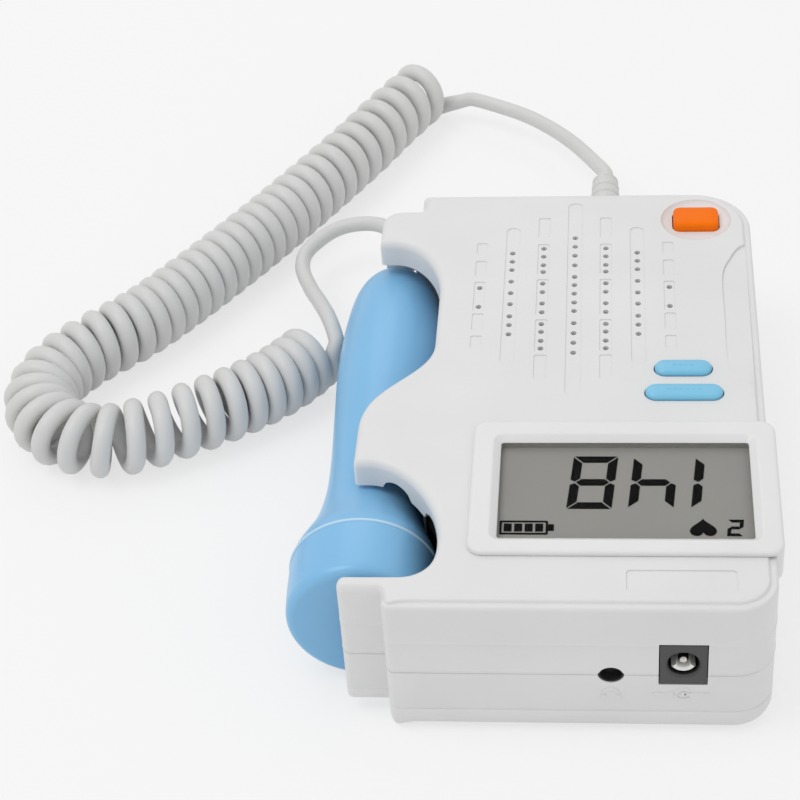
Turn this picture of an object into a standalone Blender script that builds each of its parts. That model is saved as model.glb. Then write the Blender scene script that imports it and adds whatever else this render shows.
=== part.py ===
"""Fetal doppler: a desk unit with a display, keys and a speaker, and an ultrasound probe parked in the dock along its
left side on a curly cord. Metres, +Z up, sockets at -Y, cord outlet at +Y, the probe's dock at -X."""

import math

import bmesh
import bpy
import numpy as np
from mathutils import Matrix, Vector

# Fits shared by all pieces
GAP = 0.0003
OVERRUN = 0.001
WALL = 0.002
FACETS = 24
FINE_FACETS = 32
CURVE_STEPS = 5
ARC_STEPS = 5

# Case: a block with sharp left corners, a tight near right corner and a wide far right one
CASE_LENGTH = 0.135
CASE_TOP = 0.035
CASE_BOTTOM = 0.0008
SEAM_Z = 0.0165
NEAR_CORNER = 0.008
FAR_CORNER = 0.013
LEFT_CORNER = 0.0012
TOP_ROUND = 0.0013
BOTTOM_ROUND = 0.0015
ROUND_SEGMENTS = 2

# Probe: a waisted handle that flares to a drum-shaped head
PROBE_OUT = 0.0063
PROBE_SETBACK = 0.0135
TAIL_SETBACK = 0.0105
RIM_LENGTH = 0.014
HEAD_RADIUS = 0.0154
HEAD_SHOULDER = 0.0004
FACE_CHAMFER = 0.0019
FACE_CHAMFER_DEPTH = 0.0017
HEAD_LIFT = 0.0006
HANDLE_RADIUS = 0.0114
WAIST_RADIUS = 0.0100
TAIL_RADIUS = 0.0055
PROBE_WALL = 0.002
FACE_WALL = 0.0015
FLARE_SHARES = ((0.07, 0.031), (0.26, 0.062), (0.59, 0.103), (0.80, 0.144), (0.89, 0.186))
SWELL_SHARES = (
    (0, 0.258), (0.14, 0.361), (0.57, 0.495), (1, 0.639), (0.86, 0.763), (0.29, 0.866), (-0.43, 0.928), (-1.43, 0.969),
)

# Dock: deck over the probe, cradle under it, ear over its tail and guard in front of its face
DOCK_REACH = 0.009
DOCK_CLEARANCE = 0.0006
DECK_CLEARANCE = 0.001
UNDERCUT = 0.0004
TAIL_CLEARANCE = 0.0008
EAR_WALL = 0.0036
EAR_ROUND = 0.0045
EAR_DEPTH = 0.0128
TIP_ROUND = 0.001
BRIDGE_INSET = 0.0003
ARCH_BEFORE_RIM = 0.0134
DRUM_PAST_RIM = 0.0095
BELL_START = 0.0035
BELL_END = 0.0125
GUARD_GAP = 0.0052
GUARD_WALL = 0.0033
GUARD_ROUND = 0.002
GUARD_BOTTOM = 0.004
SLOT_HEIGHT = 0.0084
THUMB_RUN_SHARE = 0.1918
THUMB_FLAT_SHARE = 0.1753
BRIDGE_RUN_SHARE = 0.2887
THUMB_SHARES = (0.58, 0.51)
BRIDGE_SHARES = (0.43, 0.50)
ARCH_SHARES = (0.47, 0.55)
DRUM_SHARES = (0.72, 0.67)

# Display: a raised frame that wraps over the case's right edge
FRAME_INSET = 0.0157
FRAME_NEAR = 0.0135
FRAME_RAISE = 0.0012
FRAME_CORNER = 0.003
FRAME_ROUND = 0.0004
FRAME_LIP = 0.0012
FRAME_LIP_DROP = 0.006
WINDOW_WIDTH = 0.0498
WINDOW_LENGTH = 0.028
WINDOW_LEFT_BORDER = 0.0056
WINDOW_RIGHT_BORDER = 0.0054
WINDOW_NEAR_BORDER = 0.005
WINDOW_FAR_BORDER = 0.0058
WINDOW_CORNER = 0.001
WINDOW_THICKNESS = 0.001
LEDGE = 0.0005
COLLAR_WALL = 0.0009
COLLAR_DEPTH = 0.0038
LCD_THICKNESS = 0.002
BACKLIGHT_THICKNESS = 0.0029
BOARD_THICKNESS = 0.0016
STRIP_WIDTH = 0.002
DISPLAY_BOARD_MARGIN = 0.0049
DISPLAY_BOSS_LEFT = 0.0082
DISPLAY_BOSS_RIGHT = 0.0056
DISPLAY_BOSS_OUT = 0.0023

# Keys: two pills and a rounded square, each over its own tact switch
KEY_RAISE = 0.0012
KEY_TRAVEL = 0.0005
SWITCH_CLEARANCE = 0.0002
KEY_FLANGE = 0.0008
KEY_FLANGE_THICKNESS = 0.0008
KEY_STEM = 0.0015
KEY_STEM_RADIUS = 0.0015
PILL_INSET = 0.0164
PILL_WIDTH = 0.0046
SMALL_KEY_PAST_FRAME = 0.0179
SMALL_KEY_LENGTH = 0.0119
LARGE_KEY_PAST_FRAME = 0.0100
LARGE_KEY_LENGTH = 0.016
POWER_INSET_X = 0.0122
POWER_INSET_Y = 0.0111
POWER_WIDTH = 0.0102
POWER_LENGTH = 0.0078
POWER_CORNER = 0.0016
DISH_RADIUS = 0.0079
DISH_DEPTH = 0.0008
SWITCH_SIDE = 0.006
SWITCH_HEIGHT = 0.0035
PLUNGER_RADIUS = 0.00175
PLUNGER_HEIGHT = 0.001
KEY_BOARD_INSET = 0.022
KEY_BOARD_WIDTH = 0.013
KEY_BOARD_PAST_FRAME = 0.0017
KEY_BOARD_FAR_INSET = 0.0055
NEAR_KEY_BOSS = 0.0023
FAR_KEY_BOSS = 0.0079

# Speaker behind a grille of seven columns of holes
SPEAKER_SETBACK = 0.0385
SPEAKER_GAP = 0.0002
SPEAKER_RADIUS = 0.018
SPEAKER_RIM = 0.0015
SPEAKER_BASKET_DEPTH = 0.0085
SPEAKER_HUB_RADIUS = 0.0105
SPEAKER_WALL = 0.0008
SPEAKER_HEIGHT = 0.0122
MAGNET_RADIUS = 0.009
CONE_THICKNESS = 0.0006
CONE_NECK = 0.004
RING_WALL = 0.001
RING_DEPTH = 0.003
GRILLE_SHIFT = 0.002
GRILLE_PITCH = 0.00695
HOLE_RADIUS = 0.0009
HOLE_SIDES = 4
HOLE_STEP = 0.0034
HOLE_COUNTS = (2, 9, 12, 13, 12, 9, 2)
HOLE_STEP_SHARES = (1.95, 1.0, 0.97, 1.0, 0.97, 1.0, 1.95)

# Sockets in the near wall
JACK_TO_DC = 0.0138
JACK_BORE = 0.0036
JACK_WIDTH = 0.0064
JACK_LENGTH = 0.012
JACK_HOLE_WIDTH = 0.0051
JACK_HOLE_HEIGHT = 0.0045
DC_INSET = 0.0178
DC_WIDTH = 0.009
DC_HEIGHT = 0.0104
DC_LENGTH = 0.0145
DC_BORE = 0.0063
DC_BORE_DEPTH = 0.010
DC_PIN_RADIUS = 0.001
DC_PIN_SETBACK = 0.001

# Main board on standoffs
MAIN_BOARD_TOP = 0.014
MAIN_BOARD_LEFT_INSET = 0.0135
MAIN_BOARD_RIGHT_INSET = 0.004
MAIN_BOARD_NEAR_INSET = 0.011
MAIN_BOARD_TO_BAY = 0.001
TONGUE_LEFT_INSET = 0.0205
TONGUE_RIGHT_INSET = 0.0115
STANDOFF_RADIUS = 0.0025
STANDOFF_INSET = 0.0045
PIN_RADIUS = 0.0008
PIN_LENGTH = 0.0021

# Case screws: four, from below, each by its side in X and Y and its insets from there
SCREW_CORNERS = ((1, -1, 0.0065, 0.0065), (1, 1, 0.0055, 0.0205), (-1, -1, 0.0151, 0.0060), (-1, 1, 0.0117, 0.0070))
POST_RADIUS = 0.003
SCREW_TUBE_RADIUS = 0.0042
SCREW_HEAD_RADIUS = 0.0027
SCREW_HEAD_HEIGHT = 0.002
SCREW_RADIUS = 0.00135
SCREW_WEB = 0.003
SCREW_BITE = 0.0075

# Rubber feet in recesses of the underside
FOOT_RADIUS = 0.004
FOOT_SEAT = 0.0008
FOOT_CORNERS = ((1, -1, 0.0095, 0.0205), (1, 1, 0.0095, 0.0375), (-1, -1, 0.0195, 0.0185), (-1, 1, 0.0005, 0.0175))

# Battery bay, two AA cells, their contacts and the sliding door
CELL_RADIUS = 0.00725
CELL_LENGTH = 0.0495
CELL_NUB_RADIUS = 0.00275
CELL_NUB = 0.001
CELL_SPACING = 0.0152
CELL_SIDE_ROOM = 0.00115
CONTACT_ROOM = 0.0023
CONTACT_THICKNESS = 0.0004
CONTACT_HEIGHT = 0.008
CONTACT_WIDTH = 0.010
CONTACT_NUB_RADIUS = 0.002
BAY_X = -0.0015
BAY_SETBACK = 0.0094
BAY_WALL = 0.001
BAY_FLANGE = 0.003
DOOR_TONGUE = 0.001
DOOR_TONGUE_THICKNESS = 0.0007

# Cord outlet and probe strain relief, both ribbed
GLAND_PAST_PROBE = 0.0485
GLAND_LENGTH = 0.0305
GLAND_BASE_RADIUS = 0.0045
GLAND_TIP_RADIUS = 0.00325
GLAND_NECK_RADIUS = 0.0032
GLAND_FLANGE_RADIUS = 0.0055
GLAND_FLANGE = 0.0015
GLAND_RIBS = 9
RIB_DEPTH = 0.0004
RELIEF_LENGTH = 0.010
RELIEF_BASE_RADIUS = 0.0037
RELIEF_TIP_RADIUS = 0.0026
RELIEF_NECK_RADIUS = 0.0026
RELIEF_FLANGE_RADIUS = 0.0039
RELIEF_FLANGE = 0.002
RELIEF_RIBS = 4

# Crystals in the probe's head and the board in its handle
CRYSTAL_RADIUS = 0.0105
CRYSTAL_THICKNESS = 0.0015
CRYSTAL_SPLIT = 0.0008
BACKING_THICKNESS = 0.005
PROBE_BOARD_PAST_RIM = 0.010
PROBE_BOARD_SHARE = 0.6186

# Cord: straight leads at both ends and a left-handed coil between them. Its points are measured in X from the
# probe's axis and in Y from the case's far wall
CORD_DIAMETER = 0.0037
COIL_DIAMETER = 0.0170
CURL_POINTS = 8
LEAD_STEP_SHARE = 1.6
COIL_START_TURN_SHARE = 0.653
COIL_END_TURN_SHARE = 0.055
COIL_PITCH_SHARES = ((0.0, 1.28), (0.55, 1.28), (0.60, 2.05), (0.66, 2.15), (0.80, 2.00), (0.88, 1.60), (1.0, 1.30))
COIL_AXIS = (
    (0.0003, 0.0890), (-0.0085, 0.0733), (-0.0182, 0.0545), (-0.0388, 0.0195),
    (-0.0597, -0.0112), (-0.0734, -0.0255), (-0.0796, -0.0346), (-0.0812, -0.0432),
    (-0.0782, -0.0508), (-0.0718, -0.0559), (-0.0632, -0.0575), (-0.0542, -0.0546),
    (-0.0434, -0.0487), (-0.0342, -0.0427), (-0.0260, -0.0357), (-0.0191, -0.0270),
)
UNIT_LEAD_ROUTE = (
    (0.0458, 0.0435, 0.0140), (0.0401, 0.0570, 0.0110),
    (0.0333, 0.0677, 0.0092), (0.0258, 0.0749, 0.0087),
)
COIL_ENTRY = ((0.0138, 0.0827, 0.0081), (0.0105, 0.0840, 0.0072))
COIL_EXIT = ((-0.0135, -0.0279, 0.0138), (-0.0146, -0.0245, 0.0147))
PROBE_LEAD_ROUTE = (
    (-0.0164, -0.0195, 0.0147), (-0.0192, -0.0120, 0.0129), (-0.0222, -0.0041, 0.0107),
    (-0.0252, 0.0054, 0.0095), (-0.0246, 0.0120, 0.0100), (-0.0190, 0.0180, 0.0115),
    (-0.0127, 0.0190, 0.0130), (-0.0062, 0.0160, 0.0146), (-0.0012, 0.0090, 0.0158),
)

# Places that follow from the sizes above
FRAME_WIDTH = WINDOW_LEFT_BORDER + WINDOW_WIDTH + WINDOW_RIGHT_BORDER
FRAME_LENGTH = WINDOW_NEAR_BORDER + WINDOW_LENGTH + WINDOW_FAR_BORDER
RING_RADIUS = SPEAKER_RADIUS + GAP + RING_WALL
SCOOP_INSET = HANDLE_RADIUS + DOCK_CLEARANCE - PROBE_OUT
DISPLAY_ROW = FRAME_INSET + FRAME_WIDTH - GAP - FRAME_LIP
SPEAKER_ROW = SCOOP_INSET + UNDERCUT + WALL + GAP + 2 * RING_RADIUS + SPEAKER_GAP + KEY_BOARD_INSET
HALF_WIDTH = max(DISPLAY_ROW, SPEAKER_ROW) / 2
HALF_LENGTH = CASE_LENGTH / 2
CEILING = CASE_TOP - WALL
FLOOR = CASE_BOTTOM + WALL
PROBE_X = -(HALF_WIDTH + PROBE_OUT)
PROBE_Z = HEAD_RADIUS + HEAD_LIFT
FACE_Y = -HALF_LENGTH + PROBE_SETBACK
RIM_Y = FACE_Y + RIM_LENGTH
TAIL_Y = HALF_LENGTH - TAIL_SETBACK
HANDLE_LENGTH = TAIL_Y - RIM_Y
DOCK_X = -(HALF_WIDTH + DOCK_REACH)
HANDLE_SCOOP_X = PROBE_X + HANDLE_RADIUS + DOCK_CLEARANCE
HEAD_SCOOP_X = PROBE_X + HEAD_RADIUS + DOCK_CLEARANCE
DECK_BOTTOM = PROBE_Z + HANDLE_RADIUS + DECK_CLEARANCE
CRADLE_TOP = PROBE_Z - HANDLE_RADIUS - GAP
EAR_INNER_Y = TAIL_Y + TAIL_CLEARANCE
EAR_Y = EAR_INNER_Y + EAR_WALL
GUARD_Y = FACE_Y - GUARD_GAP
FRAME_RIGHT = HALF_WIDTH + GAP + FRAME_LIP
FRAME_LEFT = FRAME_RIGHT - FRAME_WIDTH
FRAME_NEAR_Y = -HALF_LENGTH + FRAME_NEAR
FRAME_FAR_Y = FRAME_NEAR_Y + FRAME_LENGTH
FRAME_TOP = CASE_TOP + FRAME_RAISE
WINDOW_RIGHT = FRAME_RIGHT - WINDOW_RIGHT_BORDER
WINDOW_LEFT = WINDOW_RIGHT - WINDOW_WIDTH
WINDOW_NEAR_Y = FRAME_NEAR_Y + WINDOW_NEAR_BORDER
WINDOW_FAR_Y = WINDOW_NEAR_Y + WINDOW_LENGTH
CASE_X = -(PROBE_X - HEAD_RADIUS + FRAME_RIGHT) / 2
WINDOW_TOP = CASE_TOP
LCD_TOP = WINDOW_TOP - WINDOW_THICKNESS - GAP
BACKLIGHT_TOP = LCD_TOP - LCD_THICKNESS - GAP
DISPLAY_BOARD_TOP = BACKLIGHT_TOP - BACKLIGHT_THICKNESS - GAP
PILL_X = HALF_WIDTH - PILL_INSET
SMALL_KEY_Y = FRAME_FAR_Y + SMALL_KEY_PAST_FRAME
LARGE_KEY_Y = FRAME_FAR_Y + LARGE_KEY_PAST_FRAME
POWER_X = HALF_WIDTH - POWER_INSET_X
POWER_Y = HALF_LENGTH - POWER_INSET_Y
KEY_BOARD_LEFT = HALF_WIDTH - KEY_BOARD_INSET
KEY_BOARD_NEAR_Y = FRAME_FAR_Y + KEY_BOARD_PAST_FRAME
KEY_BOARD_FAR_Y = HALF_LENGTH - KEY_BOARD_FAR_INSET
SPEAKER_X = KEY_BOARD_LEFT - SPEAKER_GAP - RING_RADIUS
SPEAKER_Y = HALF_LENGTH - SPEAKER_SETBACK
DC_X = HALF_WIDTH - DC_INSET
JACK_X = DC_X - JACK_TO_DC
GLAND_X = PROBE_X + GLAND_PAST_PROBE
KEY_TOP = CASE_TOP + KEY_RAISE
FLANGE_TOP = CEILING - GAP
FLANGE_BOTTOM = FLANGE_TOP - KEY_FLANGE_THICKNESS
STEM_BOTTOM = FLANGE_BOTTOM - KEY_STEM
SWITCH_TOP = STEM_BOTTOM - KEY_TRAVEL - SWITCH_CLEARANCE
KEY_BOARD_TOP = SWITCH_TOP - SWITCH_HEIGHT - GAP
BAY_BOTTOM = FLOOR + GAP
CELL_Z = BAY_BOTTOM + GAP + CELL_RADIUS
BAY_TOP = CELL_Z + CELL_RADIUS + GAP + BAY_WALL
BAY_HALF_WIDTH = CELL_SPACING / 2 + CELL_RADIUS + CELL_SIDE_ROOM + BAY_WALL
BAY_FAR = HALF_LENGTH - BAY_SETBACK
BAY_NEAR = BAY_FAR - CELL_LENGTH - CELL_NUB - 2 * (CONTACT_ROOM + BAY_WALL)
MAIN_BOARD_LEFT = -HALF_WIDTH + MAIN_BOARD_LEFT_INSET
MAIN_BOARD_RIGHT = HALF_WIDTH - MAIN_BOARD_RIGHT_INSET
MAIN_BOARD_NEAR = -HALF_LENGTH + MAIN_BOARD_NEAR_INSET
MAIN_BOARD_FAR = BAY_NEAR - MAIN_BOARD_TO_BAY
CORD_RADIUS = CORD_DIAMETER / 2
COIL_RADIUS = COIL_DIAMETER / 2 - CORD_RADIUS
COIL_Z = COIL_DIAMETER / 2

SCREW_SPOTS = [(a * (HALF_WIDTH - x), b * (HALF_LENGTH - y)) for a, b, x, y in SCREW_CORNERS]
FOOT_SPOTS = [(a * (HALF_WIDTH - x), b * (HALF_LENGTH - y)) for a, b, x, y in FOOT_CORNERS]
CLEAR_HIGH = CASE_TOP + OVERRUN
CLEAR_LOW = CASE_BOTTOM - OVERRUN
LIGHT_GREY = "#E2E2E2"
PALE_GREY = "#D5D5D5"
PROBE_BLUE = "#84BEE6"
KEY_BLUE = "#6FC8F0"
POWER_ORANGE = "#FF7A0F"
GLASS_GREY = "#8F8F89"
CORD_GREY = "#C4C4C4"
BOARD_GREEN = "#2E6B45"
DARK_GREY = "#4B4B4B"
STEEL = "#B8B8BA"
CREAM = "#D8CBA8"
BLACK_RUBBER = "#3A3A3A"


def clear_scene():
    for obj in list(bpy.data.objects):
        bpy.data.objects.remove(obj)


def new_collection(name):
    group = bpy.data.collections.new(name)
    bpy.context.scene.collection.children.link(group)
    return group


def linear(channel):
    """One sRGB channel from 0 to 1, as linear light."""
    return channel / 12.92 if channel <= 0.04045 else ((channel + 0.055) / 1.055) ** 2.4


def paint(obj, hex_colour, roughness=0.4, metallic=0.0):
    """Give the object its own Principled material."""
    channels = [linear(int(hex_colour[i : i + 2], 16) / 255) for i in (1, 3, 5)]
    material = bpy.data.materials.new(obj.name)
    material.use_nodes = True
    shader = material.node_tree.nodes["Principled BSDF"]
    shader.inputs["Base Color"].default_value = (*channels, 1.0)
    shader.inputs["Roughness"].default_value = roughness
    shader.inputs["Metallic"].default_value = metallic
    material.diffuse_color = (*channels, 1.0)
    obj.data.materials.clear()
    obj.data.materials.append(material)


def new_object(name, mesh, group):
    obj = bpy.data.objects.new(name, mesh)
    group.objects.link(obj)
    return obj


def soften(obj):
    """Shade smooth, with the real corners kept sharp."""
    obj.data.shade_smooth()
    obj.data.set_sharp_from_angle(angle=math.radians(35))


def settle(obj):
    """Turn the object's modifiers, or its curve, into one welded mesh."""
    graph = bpy.context.evaluated_depsgraph_get()
    mesh = bpy.data.meshes.new_from_object(obj.evaluated_get(graph))
    shape = bmesh.new()
    shape.from_mesh(mesh)
    bmesh.ops.remove_doubles(shape, verts=shape.verts, dist=GAP / 100)
    bmesh.ops.dissolve_degenerate(shape, dist=GAP / 100, edges=shape.edges)
    bmesh.ops.recalc_face_normals(shape, faces=shape.faces)
    shape.to_mesh(mesh)
    shape.free()
    if obj.type == "MESH":
        obj.modifiers.clear()
        obj.data = mesh
        return obj
    name = obj.name
    place = obj.matrix_world.copy()
    group = obj.users_collection[0]
    bpy.data.objects.remove(obj)
    made = new_object(name, mesh, group)
    made.matrix_world = place
    return made


def box(name, low, high, group):
    """Box between two corners."""
    size = Vector(high) - Vector(low)
    shape = bmesh.new()
    bmesh.ops.create_cube(shape, size=1)
    bmesh.ops.transform(shape, matrix=Matrix.Diagonal((*size, 1)), verts=shape.verts)
    mesh = bpy.data.meshes.new(name)
    shape.to_mesh(mesh)
    shape.free()
    obj = new_object(name, mesh, group)
    obj.location = Vector(low) + size / 2
    return obj


def cylinder(name, radius, start, end, group, facets=FACETS):
    """Cylinder from one point to another, along Y or Z."""
    run = Vector(end) - Vector(start)
    shape = bmesh.new()
    bmesh.ops.create_cone(
        shape, cap_ends=True, segments=facets, radius1=radius, radius2=radius, depth=run.length
    )
    mesh = bpy.data.meshes.new(name)
    shape.to_mesh(mesh)
    shape.free()
    obj = new_object(name, mesh, group)
    obj.rotation_euler = run.to_track_quat("Z", "Y").to_euler()
    obj.location = Vector(start) + run / 2
    soften(obj)
    return obj


def plate(name, outline, bottom, top, group):
    """Flat outline given a thickness, as a welded mesh."""
    curve = bpy.data.curves.new(name, "CURVE")
    curve.dimensions = "2D"
    curve.fill_mode = "BOTH"
    curve.extrude = (top - bottom) / 2
    spline = curve.splines.new("POLY")
    spline.points.add(len(outline) - 1)
    for point, (x, y) in zip(spline.points, outline):
        point.co = (x, y, 0, 1)
    spline.use_cyclic_u = True
    obj = new_object(name, curve, group)
    obj.location.z = (top + bottom) / 2
    bpy.context.view_layer.update()
    made = settle(obj)
    shape = bmesh.new()
    shape.from_mesh(made.data)
    bmesh.ops.dissolve_limit(
        shape, angle_limit=math.radians(1), verts=shape.verts, edges=shape.edges
    )
    shape.to_mesh(made.data)
    shape.free()
    return made


def turned(name, profile, place, group, along="Z", facets=FACETS):
    """Profile of (radius, height) pairs turned about its axis. Its outer side runs from top to bottom."""
    mesh = bpy.data.meshes.new(name)
    closed = profile[0][0] > 0 or profile[-1][0] > 0
    count = len(profile)
    edges = [(i, (i + 1) % count) for i in range(count if closed else count - 1)]
    mesh.from_pydata([(radius, 0, height) for radius, height in profile], edges, [])
    obj = new_object(name, mesh, group)
    obj.location = place
    if along == "Y":
        obj.rotation_euler.x = -math.pi / 2
    screw = obj.modifiers.new("turn", "SCREW")
    screw.steps = facets
    screw.render_steps = facets
    screw.use_merge_vertices = True
    screw.merge_threshold = GAP / 100
    settle(obj)
    soften(obj)
    return obj


def tube(name, points, group, resolution):
    """Round cord along the points."""
    curve = bpy.data.curves.new(name, "CURVE")
    curve.dimensions = "3D"
    curve.bevel_depth = CORD_RADIUS
    curve.bevel_resolution = resolution
    curve.use_fill_caps = True
    spline = curve.splines.new("POLY")
    spline.points.add(len(points) - 1)
    for target, point in zip(spline.points, points):
        target.co = (*point, 1)
    spline.use_smooth = True
    return new_object(name, curve, group)


def boolean(target, other, operation):
    modifier = target.modifiers.new(other.name, "BOOLEAN")
    modifier.operation = operation
    modifier.solver = "EXACT"
    modifier.object = other
    other.hide_render = True
    other.display_type = "WIRE"


def cut(target, *others):
    for other in others:
        boolean(target, other, "DIFFERENCE")


def join(target, *others):
    for other in others:
        boolean(target, other, "UNION")


def round_loop(obj, height, width):
    """Round the outline edges that lie at this height in the object's own mesh."""
    weights = obj.data.attributes.new("bevel_weight_edge", "FLOAT", "EDGE")
    for edge in obj.data.edges:
        ends = [obj.data.vertices[i].co.z for i in edge.vertices]
        if max(abs(z - height) for z in ends) < GAP:
            weights.data[edge.index].value = 1.0
    bevel = obj.modifiers.new("round", "BEVEL")
    bevel.limit_method = "WEIGHT"
    bevel.width = width
    bevel.segments = ROUND_SEGMENTS


def arc(centre, radius, first, last, steps=ARC_STEPS):
    """Points of an arc, angles in degrees."""
    angles = np.radians(np.linspace(first, last, steps + 1))
    return [(centre[0] + radius * math.cos(a), centre[1] + radius * math.sin(a)) for a in angles]


def bezier(a, b, c, d, steps=CURVE_STEPS):
    points = []
    for t in np.linspace(0, 1, steps + 1):
        weights = ((1 - t) ** 3, 3 * t * (1 - t) ** 2, 3 * t * t * (1 - t), t**3)
        points.append(tuple(sum(w * p[k] for w, p in zip(weights, (a, b, c, d))) for k in (0, 1)))
    return points


def curve_x_to_y(a, b, shares):
    """Curve that leaves a along X and reaches b along Y."""
    return bezier(
        a, (a[0] + shares[0] * (b[0] - a[0]), a[1]), (b[0], b[1] + shares[1] * (a[1] - b[1])), b
    )


def curve_y_to_x(a, b, shares):
    """Curve that leaves a along Y and reaches b along X."""
    return bezier(
        a, (a[0], a[1] + shares[0] * (b[1] - a[1])), (b[0] + shares[1] * (a[0] - b[0]), b[1]), b
    )


def curve_y_to_y(a, b, shares):
    """Curve that leaves a along Y and reaches b along Y."""
    run = b[1] - a[1]
    return bezier(a, (a[0], a[1] + shares[0] * run), (b[0], b[1] - shares[1] * run), b)


def rounded_rectangle(left, near, right, far, corner, steps=ARC_STEPS):
    points = []
    points += arc((right - corner, near + corner), corner, -90, 0, steps)
    points += arc((right - corner, far - corner), corner, 0, 90, steps)
    points += arc((left + corner, far - corner), corner, 90, 180, steps)
    points += arc((left + corner, near + corner), corner, 180, 270, steps)
    return points


def pill(x, y, length, width):
    """Pill that lies along X, with the doubled points at its round ends left out."""
    half = length / 2 - width / 2
    return arc((x + half, y), width / 2, -90, 90, 2 * ARC_STEPS) + arc(
        (x - half, y), width / 2, 90, 270, 2 * ARC_STEPS
    )


def case_outline(cradle):
    """Outline of a case half. The upper half is scooped out beside the handle, the lower half keeps a cradle there."""
    tip_y = EAR_Y - EAR_DEPTH
    thumb_y = tip_y - THUMB_RUN_SHARE * HANDLE_LENGTH
    thumb_end_y = thumb_y - THUMB_FLAT_SHARE * HANDLE_LENGTH
    bridge_y = thumb_end_y - BRIDGE_RUN_SHARE * HANDLE_LENGTH
    arch_y = RIM_Y + ARCH_BEFORE_RIM
    bridge_x = DOCK_X + BRIDGE_INSET
    points = [(-HALF_WIDTH + LEFT_CORNER, -HALF_LENGTH)]
    points += arc((HALF_WIDTH - NEAR_CORNER, NEAR_CORNER - HALF_LENGTH), NEAR_CORNER, -90, 0)
    points += arc((HALF_WIDTH - FAR_CORNER, HALF_LENGTH - FAR_CORNER), FAR_CORNER, 0, 90)
    points += [(-HALF_WIDTH + LEFT_CORNER, HALF_LENGTH), (-HALF_WIDTH, HALF_LENGTH - LEFT_CORNER)]
    points += [(-HALF_WIDTH, EAR_Y)]
    points += arc((DOCK_X + EAR_ROUND, EAR_Y - EAR_ROUND), EAR_ROUND, 90, 180)
    if cradle:
        points += [(DOCK_X, arch_y + TIP_ROUND)]
    else:
        points += [(DOCK_X, tip_y + TIP_ROUND)]
        points += curve_x_to_y((DOCK_X + TIP_ROUND, tip_y), (HANDLE_SCOOP_X, thumb_y), THUMB_SHARES)
        points += curve_y_to_y((HANDLE_SCOOP_X, thumb_end_y), (bridge_x, bridge_y), BRIDGE_SHARES)
        points += [(bridge_x, arch_y + TIP_ROUND)]
    drum = (HEAD_SCOOP_X, RIM_Y - DRUM_PAST_RIM)
    points += curve_x_to_y((bridge_x + TIP_ROUND, arch_y), drum, ARCH_SHARES)
    points += curve_y_to_x(drum, (-HALF_WIDTH, GUARD_Y), DRUM_SHARES)[1:]
    points += arc((DOCK_X + GUARD_ROUND, GUARD_Y - GUARD_ROUND), GUARD_ROUND, 90, 180, 2)
    points += [(DOCK_X, GUARD_Y - GUARD_WALL), (-HALF_WIDTH, GUARD_Y - GUARD_WALL)]
    points += [(-HALF_WIDTH, -HALF_LENGTH + LEFT_CORNER)]
    return points


def cavity_outline():
    """Room inside the case, one wall in from every outer face and from the probe's pocket."""
    handle_x = HANDLE_SCOOP_X + UNDERCUT + WALL
    head_x = HEAD_SCOOP_X + UNDERCUT + WALL
    left_x = -HALF_WIDTH + WALL
    far_y = HALF_LENGTH - WALL
    near_centre = (HALF_WIDTH - NEAR_CORNER, NEAR_CORNER - HALF_LENGTH)
    far_centre = (HALF_WIDTH - FAR_CORNER, HALF_LENGTH - FAR_CORNER)
    points = arc(near_centre, NEAR_CORNER - WALL, -90, 0)
    points += arc(far_centre, FAR_CORNER - WALL, 0, 90)
    points += [(left_x, far_y), (left_x, EAR_INNER_Y + WALL), (handle_x, EAR_INNER_Y + WALL)]
    points += [(handle_x, RIM_Y + BELL_END + OVERRUN), (head_x, RIM_Y + BELL_START + OVERRUN)]
    points += [(head_x, GUARD_Y - WALL), (left_x, GUARD_Y - WALL), (left_x, -far_y)]
    return points


def pocket_outline():
    """Room for the probe, open to the left."""
    open_x = PROBE_X - HEAD_RADIUS - OVERRUN
    handle_x = HANDLE_SCOOP_X + UNDERCUT
    head_x = HEAD_SCOOP_X + UNDERCUT
    return [
        (open_x, FACE_Y),
        (head_x, FACE_Y),
        (head_x, RIM_Y + BELL_START),
        (handle_x, RIM_Y + BELL_END),
        (handle_x, EAR_INNER_Y),
        (open_x, EAR_INNER_Y),
    ]


def jack_hole(cutters):
    """Lens-shaped hole in front of the earphone jack, two arcs that meet in points at left and right."""
    half_width = JACK_HOLE_WIDTH / 2
    half_height = JACK_HOLE_HEIGHT / 2
    radius = (half_width**2 + half_height**2) / (2 * half_height)
    reach = math.degrees(math.asin(half_width / radius))
    drop = radius - half_height
    points = arc((JACK_X, -drop), radius, 90 - reach, 90 + reach)
    points += arc((JACK_X, drop), radius, 270 - reach, 270 + reach)[1:-1]
    hole = plate("jack_hole", points, -OVERRUN - WALL, OVERRUN, cutters)
    hole.rotation_euler.x = math.pi / 2
    hole.location = (0, -HALF_LENGTH + WALL / 2, SEAM_Z)
    return hole


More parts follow.
